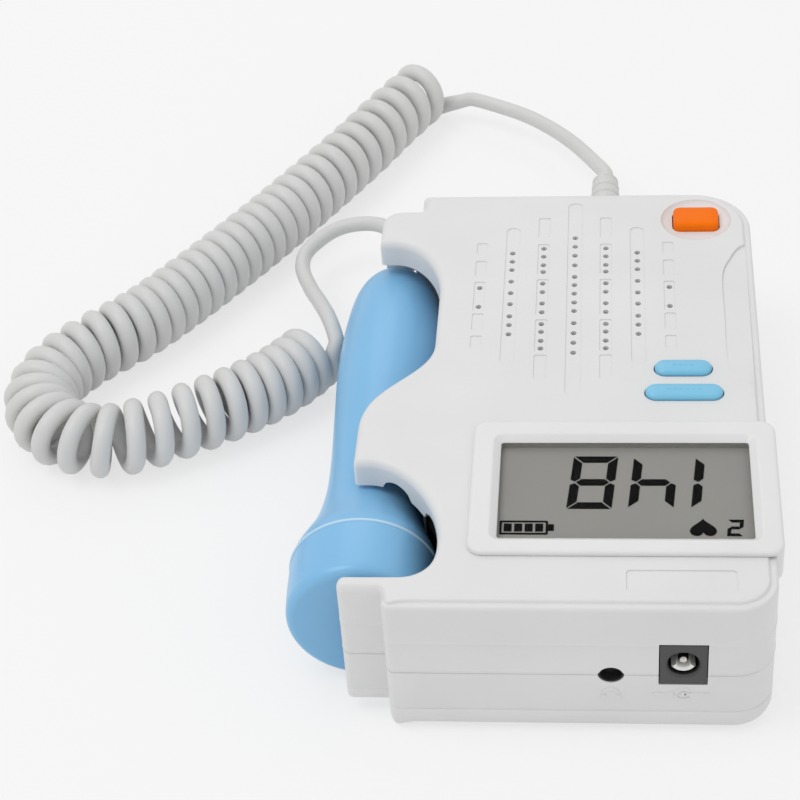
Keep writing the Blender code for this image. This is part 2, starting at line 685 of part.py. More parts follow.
def wall_holes(cutters):
    """Openings of both case halves: earphone lens, power socket, cord outlet and strain relief slot."""
    socket = box(
        "socket_hole",
        (DC_X - DC_WIDTH / 2 - GAP, -HALF_LENGTH - OVERRUN, MAIN_BOARD_TOP),
        (DC_X + DC_WIDTH / 2 + GAP, -HALF_LENGTH + WALL + OVERRUN, MAIN_BOARD_TOP + DC_HEIGHT + 2 * GAP),
        cutters,
    )
    outlet = cylinder(
        "outlet_hole",
        GLAND_NECK_RADIUS + GAP,
        (GLAND_X, HALF_LENGTH - WALL - OVERRUN, SEAM_Z),
        (GLAND_X, HALF_LENGTH + OVERRUN, SEAM_Z),
        cutters,
    )
    slot = box(
        "relief_slot",
        (DOCK_X - OVERRUN, EAR_INNER_Y - OVERRUN, PROBE_Z - SLOT_HEIGHT / 2),
        (PROBE_X + SLOT_HEIGHT / 2, EAR_Y + OVERRUN, PROBE_Z + SLOT_HEIGHT / 2),
        cutters,
    )
    return [jack_hole(cutters), socket, outlet, slot]


def grille_holes(cutters):
    """All the sound holes as one cutter, in seven columns about the grille's middle."""
    shape = bmesh.new()
    middle = (len(HOLE_COUNTS) - 1) / 2
    low = CEILING - RING_DEPTH - OVERRUN
    for column, (count, step_share) in enumerate(zip(HOLE_COUNTS, HOLE_STEP_SHARES)):
        for row in range(count):
            x = SPEAKER_X + GRILLE_SHIFT + (column - middle) * GRILLE_PITCH
            y = SPEAKER_Y + (row - (count - 1) / 2) * HOLE_STEP * step_share
            place = Matrix.Translation((x, y, (low + CLEAR_HIGH) / 2))
            bmesh.ops.create_cone(
                shape,
                cap_ends=True,
                segments=HOLE_SIDES,
                radius1=HOLE_RADIUS,
                radius2=HOLE_RADIUS,
                depth=CLEAR_HIGH - low,
                matrix=place,
            )
    mesh = bpy.data.meshes.new("grille_holes")
    shape.to_mesh(mesh)
    shape.free()
    return new_object("grille_holes", mesh, cutters)


def pin_boss(name, x, y, bottom, cutters):
    """Boss that hangs from the case's top and ends in a pin through a board."""
    shoulder = bottom + GAP
    tip = bottom - PIN_LENGTH
    profile = [
        (0, CEILING + WALL / 2),
        (2 * PIN_RADIUS, CEILING + WALL / 2),
        (2 * PIN_RADIUS, shoulder),
        (PIN_RADIUS, shoulder),
        (PIN_RADIUS, tip),
        (0, tip),
    ]
    return turned(name, profile, (x, y, 0), cutters, facets=FACETS // 2)


def display_boss_spots():
    near = WINDOW_NEAR_Y - LEDGE - COLLAR_WALL - GAP - DISPLAY_BOSS_OUT
    far = WINDOW_FAR_Y + LEDGE + COLLAR_WALL + GAP + DISPLAY_BOSS_OUT
    left, right = WINDOW_LEFT + DISPLAY_BOSS_LEFT, WINDOW_RIGHT - DISPLAY_BOSS_RIGHT
    return [(x, y) for x in (left, right) for y in (near, far)]


def key_boss_spots():
    rows = (KEY_BOARD_NEAR_Y + NEAR_KEY_BOSS, (SMALL_KEY_Y + POWER_Y) / 2, POWER_Y - FAR_KEY_BOSS)
    return [(KEY_BOARD_LEFT + KEY_BOARD_WIDTH / 2, y) for y in rows]


def top_features(cutters):
    """Posts, bosses and the speaker ring under the case's top."""
    features = []
    for index, (x, y) in enumerate(SCREW_SPOTS):
        post = cylinder(
            f"post_{index}",
            POST_RADIUS,
            (x, y, SEAM_Z + GAP / 2),
            (x, y, CEILING + WALL / 2),
            cutters,
            FACETS // 2,
        )
        features.append(post)
    for index, (x, y) in enumerate(display_boss_spots()):
        features.append(pin_boss(f"display_boss_{index}", x, y, DISPLAY_BOARD_TOP, cutters))
    for index, (x, y) in enumerate(key_boss_spots()):
        features.append(pin_boss(f"key_boss_{index}", x, y, KEY_BOARD_TOP, cutters))
    inner = SPEAKER_RADIUS + GAP
    ring = [
        (RING_RADIUS, CEILING + WALL / 2),
        (RING_RADIUS, CEILING - RING_DEPTH),
        (inner, CEILING - RING_DEPTH),
        (inner, CEILING + WALL / 2),
    ]
    features.append(turned("speaker_ring", ring, (SPEAKER_X, SPEAKER_Y, 0), cutters))
    return features


def key_outlines():
    """Name, outline function of a margin, and centre of each key."""

    def square(margin):
        return rounded_rectangle(
            POWER_X - POWER_WIDTH / 2 - margin,
            POWER_Y - POWER_LENGTH / 2 - margin,
            POWER_X + POWER_WIDTH / 2 + margin,
            POWER_Y + POWER_LENGTH / 2 + margin,
            POWER_CORNER + margin,
            ARC_STEPS - 2,
        )

    def small(margin):
        return pill(PILL_X, SMALL_KEY_Y, SMALL_KEY_LENGTH + 2 * margin, PILL_WIDTH + 2 * margin)

    def large(margin):
        return pill(PILL_X, LARGE_KEY_Y, LARGE_KEY_LENGTH + 2 * margin, PILL_WIDTH + 2 * margin)

    return [
        ("power_button", square, (POWER_X, POWER_Y)),
        ("small_key", small, (PILL_X, SMALL_KEY_Y)),
        ("large_key", large, (PILL_X, LARGE_KEY_Y)),
    ]


def build_top_shell(parts, cutters):
    """Upper case half: deck over the probe, display opening, key openings, dish, sound holes and screw posts."""
    shell = plate("top_shell", case_outline(False), SEAM_Z + GAP / 2, CASE_TOP, parts)
    round_loop(shell, (CASE_TOP - SEAM_Z - GAP / 2) / 2, TOP_ROUND)
    cavity = plate("top_cavity", cavity_outline(), SEAM_Z - OVERRUN, CEILING, cutters)
    pocket = plate("top_pocket", pocket_outline(), SEAM_Z - OVERRUN, DECK_BOTTOM, cutters)
    margin = LEDGE + COLLAR_WALL + GAP
    opening = box(
        "display_opening",
        (WINDOW_LEFT - margin, WINDOW_NEAR_Y - margin, CEILING - OVERRUN),
        (WINDOW_RIGHT + margin, WINDOW_FAR_Y + margin, CLEAR_HIGH),
        cutters,
    )
    dish = cylinder(
        "power_dish",
        DISH_RADIUS,
        (POWER_X, POWER_Y, CASE_TOP - DISH_DEPTH),
        (POWER_X, POWER_Y, CLEAR_HIGH),
        cutters,
    )
    cut(shell, cavity, pocket)
    join(shell, *top_features(cutters))
    holes = [opening, dish, grille_holes(cutters)]
    for name, outline, _ in key_outlines():
        holes.append(plate(name + "_hole", outline(GAP), CEILING - OVERRUN, CLEAR_HIGH, cutters))
    for index, (x, y) in enumerate(SCREW_SPOTS):
        reach = SEAM_Z + SCREW_BITE + 2 * GAP
        pilot = cylinder(
            f"pilot_{index}",
            SCREW_RADIUS + GAP,
            (x, y, SEAM_Z - OVERRUN),
            (x, y, reach),
            cutters,
            FACETS // 2,
        )
        holes.append(pilot)
    cut(shell, *holes, *wall_holes(cutters))
    settle(shell)
    soften(shell)
    paint(shell, LIGHT_GREY, 0.45)


def screw_seat_z():
    """Underside of the web that the case screws clamp."""
    return SEAM_Z - GAP / 2 - SCREW_WEB


def standoff_spots():
    left = MAIN_BOARD_LEFT + STANDOFF_INSET
    right = MAIN_BOARD_RIGHT - STANDOFF_INSET
    near = MAIN_BOARD_NEAR + STANDOFF_INSET
    far = MAIN_BOARD_FAR - STANDOFF_INSET
    return [(x, y) for x in (left, right) for y in (near, far)]


def bottom_features(cutters):
    """Screw tubes and board standoffs on the case's floor."""
    features = []
    root = FLOOR - WALL / 2
    for index, (x, y) in enumerate(SCREW_SPOTS):
        tube_top = (x, y, SEAM_Z - GAP / 2)
        features.append(
            cylinder(f"screw_tube_{index}", SCREW_TUBE_RADIUS, (x, y, root), tube_top, cutters, FACETS // 2)
        )
    shoulder = MAIN_BOARD_TOP - BOARD_THICKNESS - GAP
    for index, (x, y) in enumerate(standoff_spots()):
        profile = [
            (0, MAIN_BOARD_TOP),
            (PIN_RADIUS, MAIN_BOARD_TOP),
            (PIN_RADIUS, shoulder),
            (STANDOFF_RADIUS, shoulder),
            (STANDOFF_RADIUS, root),
            (0, root),
        ]
        features.append(turned(f"standoff_{index}", profile, (x, y, 0), cutters, facets=FACETS // 2))
    return features


def build_bottom_shell(parts, cutters):
    """Lower case half: cradle under the probe, screw tubes, standoffs, foot recesses and the door's channel."""
    shell = plate("bottom_shell", case_outline(True), CASE_BOTTOM, SEAM_Z - GAP / 2, parts)
    round_loop(shell, -(SEAM_Z - GAP / 2 - CASE_BOTTOM) / 2, BOTTOM_ROUND)
    cavity = plate("bottom_cavity", cavity_outline(), FLOOR, SEAM_Z + OVERRUN, cutters)
    pocket = plate("bottom_pocket", pocket_outline(), CRADLE_TOP, SEAM_Z + OVERRUN, cutters)
    guard_cut = box(
        "guard_cut",
        (DOCK_X - OVERRUN, GUARD_Y - GUARD_WALL - OVERRUN, CLEAR_LOW),
        (-HALF_WIDTH, GUARD_Y + OVERRUN, GUARD_BOTTOM),
        cutters,
    )
    cut(shell, cavity, pocket, guard_cut)
    join(shell, *bottom_features(cutters))
    holes = []
    for index, (x, y) in enumerate(SCREW_SPOTS):
        profile = [
            (0, SEAM_Z + OVERRUN),
            (SCREW_RADIUS + GAP, SEAM_Z + OVERRUN),
            (SCREW_RADIUS + GAP, screw_seat_z()),
            (SCREW_HEAD_RADIUS + GAP, screw_seat_z()),
            (SCREW_HEAD_RADIUS + GAP, CLEAR_LOW),
            (0, CLEAR_LOW),
        ]
        holes.append(turned(f"screw_hole_{index}", profile, (x, y, 0), cutters, facets=FACETS // 2))
    for index, (x, y) in enumerate(FOOT_SPOTS):
        foot_top = CASE_BOTTOM + FOOT_SEAT + GAP
        holes.append(
            cylinder(
                f"foot_recess_{index}",
                FOOT_RADIUS + GAP,
                (x, y, CLEAR_LOW),
                (x, y, foot_top),
                cutters,
                FACETS // 2,
            )
        )
    door_half = BAY_HALF_WIDTH + GAP
    far_end = HALF_LENGTH + OVERRUN
    near_end = BAY_NEAR + BAY_WALL - GAP
    ledge_top = FLOOR - DOOR_TONGUE_THICKNESS - GAP
    holes.append(
        box("door_slot", (BAY_X - door_half, near_end, CLEAR_LOW), (BAY_X + door_half, far_end, BAY_BOTTOM), cutters)
    )
    groove_half = door_half + DOOR_TONGUE
    holes.append(
        box(
            "door_groove",
            (BAY_X - groove_half, near_end - OVERRUN, ledge_top),
            (BAY_X + groove_half, far_end + OVERRUN, BAY_BOTTOM + GAP),
            cutters,
        )
    )
    cut(shell, *holes, *wall_holes(cutters))
    settle(shell)
    soften(shell)
    paint(shell, PALE_GREY, 0.45)


def build_display(parts, cutters):
    """Frame, window, liquid crystal cell, backlight, two contact strips and the driver board."""
    outline = rounded_rectangle(FRAME_LEFT, FRAME_NEAR_Y, FRAME_RIGHT, FRAME_FAR_Y, FRAME_CORNER, ARC_STEPS - 2)
    frame = plate("display_frame", outline, CASE_TOP + GAP, FRAME_TOP, parts)
    round_loop(frame, (FRAME_TOP - CASE_TOP - GAP) / 2, FRAME_ROUND)
    collar_out = LEDGE + COLLAR_WALL
    middle = (CASE_TOP + GAP + FRAME_TOP) / 2
    collar = box(
        "collar",
        (WINDOW_LEFT - collar_out, WINDOW_NEAR_Y - collar_out, CASE_TOP + GAP - COLLAR_DEPTH),
        (WINDOW_RIGHT + collar_out, WINDOW_FAR_Y + collar_out, middle),
        cutters,
    )
    lip = box(
        "lip",
        (HALF_WIDTH + GAP, FRAME_NEAR_Y + FRAME_CORNER, FRAME_TOP - FRAME_LIP - FRAME_LIP_DROP),
        (FRAME_RIGHT, FRAME_FAR_Y - FRAME_CORNER, middle),
        cutters,
    )
    seat = box(
        "window_seat",
        (WINDOW_LEFT - LEDGE, WINDOW_NEAR_Y - LEDGE, CASE_TOP - COLLAR_DEPTH - OVERRUN),
        (WINDOW_RIGHT + LEDGE, WINDOW_FAR_Y + LEDGE, CASE_TOP + GAP),
        cutters,
    )
    sight = plate(
        "sight",
        rounded_rectangle(WINDOW_LEFT, WINDOW_NEAR_Y, WINDOW_RIGHT, WINDOW_FAR_Y, WINDOW_CORNER, 2),
        CASE_TOP - OVERRUN,
        FRAME_TOP + OVERRUN,
        cutters,
    )
    join(frame, collar, lip)
    cut(frame, seat, sight)
    settle(frame)
    soften(frame)
    paint(frame, LIGHT_GREY, 0.35)

    room = LEDGE - GAP
    low_x, high_x = WINDOW_LEFT - room, WINDOW_RIGHT + room
    low_y, high_y = WINDOW_NEAR_Y - room, WINDOW_FAR_Y + room
    window_bottom = WINDOW_TOP - WINDOW_THICKNESS
    window = box("display_window", (low_x, low_y, window_bottom), (high_x, high_y, WINDOW_TOP), parts)
    paint(window, GLASS_GREY, 0.08)
    lcd = box("lcd_glass", (low_x, low_y, LCD_TOP - LCD_THICKNESS), (high_x, high_y, LCD_TOP), parts)
    paint(lcd, GLASS_GREY, 0.15)
    strip_bottom = BACKLIGHT_TOP - BACKLIGHT_THICKNESS
    near_strip_y = low_y + STRIP_WIDTH
    far_strip_y = high_y - STRIP_WIDTH
    light = box(
        "lcd_backlight",
        (low_x, near_strip_y + GAP, strip_bottom),
        (high_x, far_strip_y - GAP, BACKLIGHT_TOP),
        parts,
    )
    paint(light, "#F2F2F2", 0.3)
    for name, low, high in (
        ("lcd_strip_near", low_y, near_strip_y),
        ("lcd_strip_far", far_strip_y, high_y),
    ):
        strip = box(name, (low_x, low, strip_bottom), (high_x, high, BACKLIGHT_TOP), parts)
        paint(strip, "#D98C9A", 0.7)
    margin = DISPLAY_BOARD_MARGIN
    board = box(
        "display_board",
        (WINDOW_LEFT - margin, WINDOW_NEAR_Y - margin - OVERRUN, DISPLAY_BOARD_TOP - BOARD_THICKNESS),
        (HALF_WIDTH - WALL - GAP, WINDOW_FAR_Y + margin + OVERRUN, DISPLAY_BOARD_TOP),
        parts,
    )
    for index, (x, y) in enumerate(display_boss_spots()):
        cut(board, board_hole(f"display_pin_hole_{index}", x, y, DISPLAY_BOARD_TOP, cutters))
    settle(board)
    paint(board, BOARD_GREEN, 0.5)


def board_hole(name, x, y, top, cutters):
    """Hole for a locating pin through a board whose upper face is at top."""
    return cylinder(
        name,
        PIN_RADIUS + GAP,
        (x, y, top - BOARD_THICKNESS - OVERRUN),
        (x, y, top + OVERRUN),
        cutters,
        FACETS // 2,
    )


def build_keys(parts, cutters):
    """Each key is a cap with a flange that keeps it in, and a stem over its switch."""
    pieces = {}
    for name, outline, (x, y) in key_outlines():
        key = plate(name, outline(0), FLANGE_BOTTOM + KEY_FLANGE_THICKNESS / 2, KEY_TOP, parts)
        height = (KEY_TOP - FLANGE_BOTTOM - KEY_FLANGE_THICKNESS / 2) / 2
        round_loop(key, height, KEY_FLANGE / 2)
        flange = plate(name + "_flange", outline(KEY_FLANGE), FLANGE_BOTTOM, FLANGE_TOP, cutters)
        stem = cylinder(
            name + "_stem",
            KEY_STEM_RADIUS,
            (x, y, STEM_BOTTOM),
            (x, y, FLANGE_TOP - KEY_FLANGE_THICKNESS / 4),
            cutters,
            FACETS // 2,
        )
        join(key, flange, stem)
        settle(key)
        soften(key)
        paint(key, POWER_ORANGE if name == "power_button" else KEY_BLUE, 0.35)
        pieces[name] = key
        switch_name = name.replace("_button", "") + "_switch"
        build_switch(switch_name, x, y, parts, cutters)
    return pieces


def build_switch(name, x, y, parts, cutters):
    """Tact switch: a square body with a round plunger."""
    half = SWITCH_SIDE / 2
    bottom = SWITCH_TOP - SWITCH_HEIGHT
    shoulder = SWITCH_TOP - PLUNGER_HEIGHT
    switch = box(name, (x - half, y - half, bottom), (x + half, y + half, shoulder), parts)
    plunger = cylinder(
        name + "_plunger",
        PLUNGER_RADIUS,
        (x, y, shoulder - PLUNGER_HEIGHT),
        (x, y, SWITCH_TOP),
        cutters,
        FACETS // 2,
    )
    join(switch, plunger)
    settle(switch)
    paint(switch, BLACK_RUBBER, 0.5)


def build_key_board(parts, cutters):
    """Strip of circuit board under the keys, hung on three pins."""
    board = box(
        "key_board",
        (KEY_BOARD_LEFT, KEY_BOARD_NEAR_Y, KEY_BOARD_TOP - BOARD_THICKNESS),
        (KEY_BOARD_LEFT + KEY_BOARD_WIDTH, KEY_BOARD_FAR_Y, KEY_BOARD_TOP),
        parts,
    )
    for index, (x, y) in enumerate(key_boss_spots()):
        cut(board, board_hole(f"key_pin_hole_{index}", x, y, KEY_BOARD_TOP, cutters))
    settle(board)
    paint(board, BOARD_GREEN, 0.5)


def build_main_board(parts, cutters):
    """Main circuit board on four standoffs, with a tongue between the near screw tubes for the sockets."""
    tongue_y = -HALF_LENGTH + WALL + 2 * GAP
    bottom = MAIN_BOARD_TOP - BOARD_THICKNESS
    board = box(
        "main_board",
        (MAIN_BOARD_LEFT, MAIN_BOARD_NEAR, bottom),
        (MAIN_BOARD_RIGHT, MAIN_BOARD_FAR, MAIN_BOARD_TOP),
        parts,
    )
    tongue = box(
        "board_tongue",
        (-HALF_WIDTH + TONGUE_LEFT_INSET, tongue_y, bottom),
        (HALF_WIDTH - TONGUE_RIGHT_INSET, MAIN_BOARD_NEAR + OVERRUN, MAIN_BOARD_TOP),
        cutters,
    )
    join(board, tongue)
    for index, (x, y) in enumerate(standoff_spots()):
        cut(board, board_hole(f"main_pin_hole_{index}", x, y, MAIN_BOARD_TOP, cutters))
    settle(board)
    paint(board, BOARD_GREEN, 0.5)


def build_sockets(parts, cutters):
    """Earphone jack and power socket on the main board, behind their openings in the near wall."""
    bottom = MAIN_BOARD_TOP + GAP
    near = -HALF_LENGTH + WALL + GAP
    half_height = SEAM_Z - bottom
    jack = box(
        "headphone_jack",
        (JACK_X - JACK_WIDTH / 2, near, bottom),
        (JACK_X + JACK_WIDTH / 2, near + JACK_LENGTH, SEAM_Z + half_height),
        parts,
    )
    bore_end = (JACK_X, near + JACK_LENGTH - OVERRUN, SEAM_Z)
    bore = cylinder(
        "jack_bore", JACK_BORE / 2, (JACK_X, near - OVERRUN, SEAM_Z), bore_end, cutters, FACETS // 2
    )
    cut(jack, bore)
    settle(jack)
    paint(jack, DARK_GREY, 0.5)

    centre_z = bottom + DC_HEIGHT / 2
    socket = box(
        "dc_jack",
        (DC_X - DC_WIDTH / 2, -HALF_LENGTH, bottom),
        (DC_X + DC_WIDTH / 2, -HALF_LENGTH + DC_LENGTH, bottom + DC_HEIGHT),
        parts,
    )
    bore_far = -HALF_LENGTH + DC_BORE_DEPTH
    bore = cylinder(
        "dc_bore",
        DC_BORE / 2,
        (DC_X, -HALF_LENGTH - OVERRUN, centre_z),
        (DC_X, bore_far, centre_z),
        cutters,
    )
    cut(socket, bore)
    settle(socket)
    paint(socket, DARK_GREY, 0.45)
    pin = cylinder(
        "dc_jack_pin",
        DC_PIN_RADIUS,
        (DC_X, -HALF_LENGTH + DC_PIN_SETBACK, centre_z),
        (DC_X, bore_far - GAP, centre_z),
        parts,
        FACETS // 2,
    )
    paint(pin, STEEL, 0.25, 1.0)


def build_speaker(parts):
    """Speaker under the grille: pressed basket, paper cone with its dust cap, and magnet."""
    top = CEILING - GAP
    basket_bottom = top - SPEAKER_BASKET_DEPTH
    wall = SPEAKER_WALL
    basket = turned(
        "speaker_basket",
        [
            (0, basket_bottom + wall),
            (SPEAKER_HUB_RADIUS - wall, basket_bottom + wall),
            (SPEAKER_RADIUS - 2 * wall, top - SPEAKER_RIM),
            (SPEAKER_RADIUS - 2 * wall, top),
            (SPEAKER_RADIUS, top),
            (SPEAKER_RADIUS, top - SPEAKER_RIM),
            (SPEAKER_HUB_RADIUS, basket_bottom),
            (0, basket_bottom),
        ],
        (SPEAKER_X, SPEAKER_Y, 0),
        parts,
    )
    paint(basket, STEEL, 0.35, 1.0)
    rim_radius = SPEAKER_RADIUS - 2 * wall - GAP
    neck_z = basket_bottom + wall + GAP
    cone = turned(
        "speaker_cone",
        [
            (0, neck_z + CONE_NECK),
            (CONE_NECK, neck_z + CONE_NECK / 2),
            (rim_radius, top),
            (rim_radius, top - CONE_THICKNESS),
            (CONE_NECK, neck_z),
            (0, neck_z),
        ],
        (SPEAKER_X, SPEAKER_Y, 0),
        parts,
    )
    paint(cone, BLACK_RUBBER, 0.8)
    magnet = cylinder(
        "speaker_magnet",
        MAGNET_RADIUS,
        (SPEAKER_X, SPEAKER_Y, top - SPEAKER_HEIGHT),
        (SPEAKER_X, SPEAKER_Y, basket_bottom - GAP),
        parts,
    )
    paint(magnet, STEEL, 0.4, 1.0)


def build_battery(parts, cutters):
    """Bay for two AA cells, the cells and their contacts."""
    half = BAY_HALF_WIDTH
    bay = box("battery_bay", (BAY_X - half, BAY_NEAR, BAY_BOTTOM), (BAY_X + half, BAY_FAR, BAY_TOP), parts)
    flange = box(
        "bay_flange",
        (BAY_X - half - BAY_FLANGE, BAY_NEAR + BAY_WALL, BAY_BOTTOM),
        (BAY_X + half + BAY_FLANGE, BAY_FAR - BAY_WALL, BAY_BOTTOM + BAY_WALL),
        cutters,
    )
    room = box(
        "bay_room",
        (BAY_X - half + BAY_WALL, BAY_NEAR + BAY_WALL, BAY_BOTTOM - OVERRUN),
        (BAY_X + half - BAY_WALL, BAY_FAR - BAY_WALL, BAY_TOP - BAY_WALL),
        cutters,
    )
    join(bay, flange)
    cut(bay, room)
    settle(bay)
    paint(bay, PALE_GREY, 0.6)

    cell_near = BAY_NEAR + BAY_WALL + CONTACT_ROOM
    for name, side in (("battery_left", -1), ("battery_right", 1)):
        x = BAY_X + side * CELL_SPACING / 2
        ends = (cell_near + CELL_LENGTH, cell_near + CELL_LENGTH + CELL_NUB)
        profile = [
            (0, ends[1]),
            (CELL_NUB_RADIUS, ends[1]),
            (CELL_NUB_RADIUS, ends[0]),
            (CELL_RADIUS, ends[0]),
            (CELL_RADIUS, cell_near),
            (0, cell_near),
        ]
        cell = turned(name, profile, (x, 0, CELL_Z), parts, along="Y")
        paint(cell, "#3F4A57", 0.3, 0.6)
        if side > 0:
            turn_end_for_end(cell, cell_near + (CELL_LENGTH + CELL_NUB) / 2)
    build_contacts(parts, cutters)


def turn_end_for_end(obj, middle_y):
    """Turn a piece that lies along Y round its middle, so that its two ends change places."""
    obj.rotation_euler.x = math.pi / 2
    obj.location.y = 2 * middle_y


def build_contacts(parts, cutters):
    """Near the sockets one plate links both cells. At the far end each cell has its own contact."""
    nub = CONTACT_ROOM - 2 * GAP - CONTACT_THICKNESS
    near_wall = BAY_NEAR + BAY_WALL + GAP
    far_wall = BAY_FAR - BAY_WALL - GAP
    left_x = BAY_X - CELL_SPACING / 2
    right_x = BAY_X + CELL_SPACING / 2
    specs = (
        ("battery_link", left_x, right_x, near_wall, 1),
        ("battery_terminal_left", left_x, left_x, far_wall, -1),
        ("battery_terminal_right", right_x, right_x, far_wall, -1),
    )
    for name, first_x, last_x, wall_y, inward in specs:
        face_y = wall_y + inward * CONTACT_THICKNESS
        low_y, high_y = sorted((wall_y, face_y))
        contact = box(
            name,
            (first_x - CONTACT_WIDTH / 2, low_y, CELL_Z - CONTACT_HEIGHT / 2),
            (last_x + CONTACT_WIDTH / 2, high_y, CELL_Z + CONTACT_HEIGHT / 2),
            parts,
        )
        for x in sorted({first_x, last_x}):
            bump = cylinder(
                f"{name}_bump_{'right' if x > BAY_X else 'left'}",
                CONTACT_NUB_RADIUS,
                (x, wall_y + inward * CONTACT_THICKNESS / 2, CELL_Z),
                (x, face_y + inward * nub, CELL_Z),
                cutters,
                FACETS // 2,
            )
            join(contact, bump)
        settle(contact)
        paint(contact, STEEL, 0.3, 1.0)


def build_battery_door(parts, cutters):
    """Door that slides out at the far end, its tongues above the ledges of the lower case half."""
    near = BAY_NEAR + BAY_WALL
    far = HALF_LENGTH - BOTTOM_ROUND
    tongue_bottom = FLOOR - DOOR_TONGUE_THICKNESS
    door = box("battery_door", (BAY_X - BAY_HALF_WIDTH, near, CASE_BOTTOM), (BAY_X + BAY_HALF_WIDTH, far, FLOOR), parts)
    wide = BAY_HALF_WIDTH + DOOR_TONGUE
    for name, low_x, high_x in (
        ("door_tongue_left", BAY_X - wide, BAY_X - BAY_HALF_WIDTH + DOOR_TONGUE),
        ("door_tongue_right", BAY_X + BAY_HALF_WIDTH - DOOR_TONGUE, BAY_X + wide),
    ):
        tongue = box(name, (low_x, near + GAP, tongue_bottom), (high_x, far - GAP, FLOOR), cutters)
        join(door, tongue)
    settle(door)
    paint(door, PALE_GREY, 0.5)
    return door


def build_screws(parts):
    """Four screws that clamp the lower case half to the upper one's posts."""
    seat = screw_seat_z() - GAP
    profile = [
        (0, SEAM_Z + SCREW_BITE),
        (SCREW_RADIUS, SEAM_Z + SCREW_BITE),
        (SCREW_RADIUS, seat),
        (SCREW_HEAD_RADIUS, seat),
        (SCREW_HEAD_RADIUS, seat - SCREW_HEAD_HEIGHT),
        (0, seat - SCREW_HEAD_HEIGHT),
    ]
    for index, (x, y) in enumerate(SCREW_SPOTS):
        screw = turned(f"case_screw_{index + 1}", profile, (x, y, 0), parts, facets=FACETS // 2)
        paint(screw, STEEL, 0.25, 1.0)


def build_feet(parts):
    for index, (x, y) in enumerate(FOOT_SPOTS):
        foot = cylinder(
            f"foot_{index + 1}", FOOT_RADIUS, (x, y, 0), (x, y, CASE_BOTTOM + FOOT_SEAT), parts, FACETS // 2
        )
        paint(foot, BLACK_RUBBER, 0.8)


def ribbed(length, base, tip, ribs):
    """Tapering ribs of a strain relief as (radius, height) pairs from the tip down to height zero."""
    pairs = []
    for index in range(ribs):
        for inset, edge in ((0, 1), (0, 0.5), (RIB_DEPTH, 0.5), (RIB_DEPTH, 0)):
            share = 1 - (index + 1 - edge) / ribs
            pairs.append((base + (tip - base) * share - inset, length * share))
    pairs[-1] = (base, 0)
    return pairs


def build_gland(parts):
    """Ribbed outlet for the cord, its flange trapped behind the far wall at the seam."""
    start = HALF_LENGTH + GAP
    inner_face = HALF_LENGTH - WALL - GAP
    profile = [(0, start + GLAND_LENGTH)]
    profile += [
        (radius, start + height)
        for radius, height in ribbed(GLAND_LENGTH, GLAND_BASE_RADIUS, GLAND_TIP_RADIUS, GLAND_RIBS)
    ]
    profile += [
        (GLAND_NECK_RADIUS, start),
        (GLAND_NECK_RADIUS, inner_face),
        (GLAND_FLANGE_RADIUS, inner_face),
        (GLAND_FLANGE_RADIUS, inner_face - GLAND_FLANGE),
        (0, inner_face - GLAND_FLANGE),
    ]
    gland = turned("cord_gland", profile, (GLAND_X, 0, SEAM_Z), parts, along="Y", facets=FACETS // 2)
    paint(gland, CORD_GREY, 0.6)


def probe_profile():
    """Outer radius of the probe against Y, from its face to its tail."""
    head = [
        (HEAD_RADIUS - FACE_CHAMFER, FACE_Y),
        (HEAD_RADIUS - HEAD_SHOULDER, FACE_Y + FACE_CHAMFER_DEPTH),
        (HEAD_RADIUS, RIM_Y),
    ]
    flare = HEAD_RADIUS - WAIST_RADIUS
    swell = HANDLE_RADIUS - WAIST_RADIUS
    handle = [(HEAD_RADIUS, RIM_Y)]
    handle += [(HEAD_RADIUS - flare * part, RIM_Y + HANDLE_LENGTH * along) for part, along in FLARE_SHARES]
    handle += [(WAIST_RADIUS + swell * part, RIM_Y + HANDLE_LENGTH * along) for part, along in SWELL_SHARES]
    handle += [(TAIL_RADIUS, TAIL_Y)]
    return head, handle


def build_probe(parts, cutters):
    """Probe head cap and handle as shells, the crystals on their backing, the board and the strain relief."""
    head, handle = probe_profile()
    place = (PROBE_X, 0, PROBE_Z)
    inner_face = FACE_Y + FACE_WALL
    cap_outer = [(radius, y) for radius, y in reversed(head)]
    cap_outer[0] = (HEAD_RADIUS, RIM_Y - GAP / 2)
    inner_radius = HEAD_RADIUS - PROBE_WALL
    cap = turned(
        "probe_head_cap",
        [(0, inner_face), (CRYSTAL_RADIUS + GAP, inner_face), (inner_radius, inner_face + FACE_WALL)]
        + [(inner_radius, RIM_Y - GAP / 2)]
        + cap_outer
        + [(0, FACE_Y)],
        place,
        parts,
        along="Y",
        facets=FINE_FACETS,
    )
    paint(cap, PROBE_BLUE, 0.35)

    outer = [(radius, y) for radius, y in reversed(handle)]
    outer[-1] = (HEAD_RADIUS, RIM_Y + GAP / 2)
    tail_inner = TAIL_Y - PROBE_WALL
    inner = [(radius - PROBE_WALL, y) for radius, y in handle if y < tail_inner]
    inner[0] = (inner_radius, RIM_Y + GAP / 2)
    bore = RELIEF_NECK_RADIUS + GAP
    inner += [(inner[-1][0], tail_inner), (bore, tail_inner), (bore, TAIL_Y)]
    shell = turned("probe_handle", inner + outer, place, parts, along="Y", facets=FINE_FACETS)
    paint(shell, PROBE_BLUE, 0.35)

    build_crystals(parts, cutters, inner_face)
    waist_room = WAIST_RADIUS - PROBE_WALL - GAP
    half_board = math.sqrt(waist_room**2 - (BOARD_THICKNESS / 2) ** 2)
    board_near = RIM_Y + PROBE_BOARD_PAST_RIM
    board = box(
        "probe_board",
        (PROBE_X - half_board, board_near, PROBE_Z - BOARD_THICKNESS / 2),
        (PROBE_X + half_board, board_near + PROBE_BOARD_SHARE * HANDLE_LENGTH, PROBE_Z + BOARD_THICKNESS / 2),
        parts,
    )
    paint(board, BOARD_GREEN, 0.5)
    build_relief(parts, tail_inner)


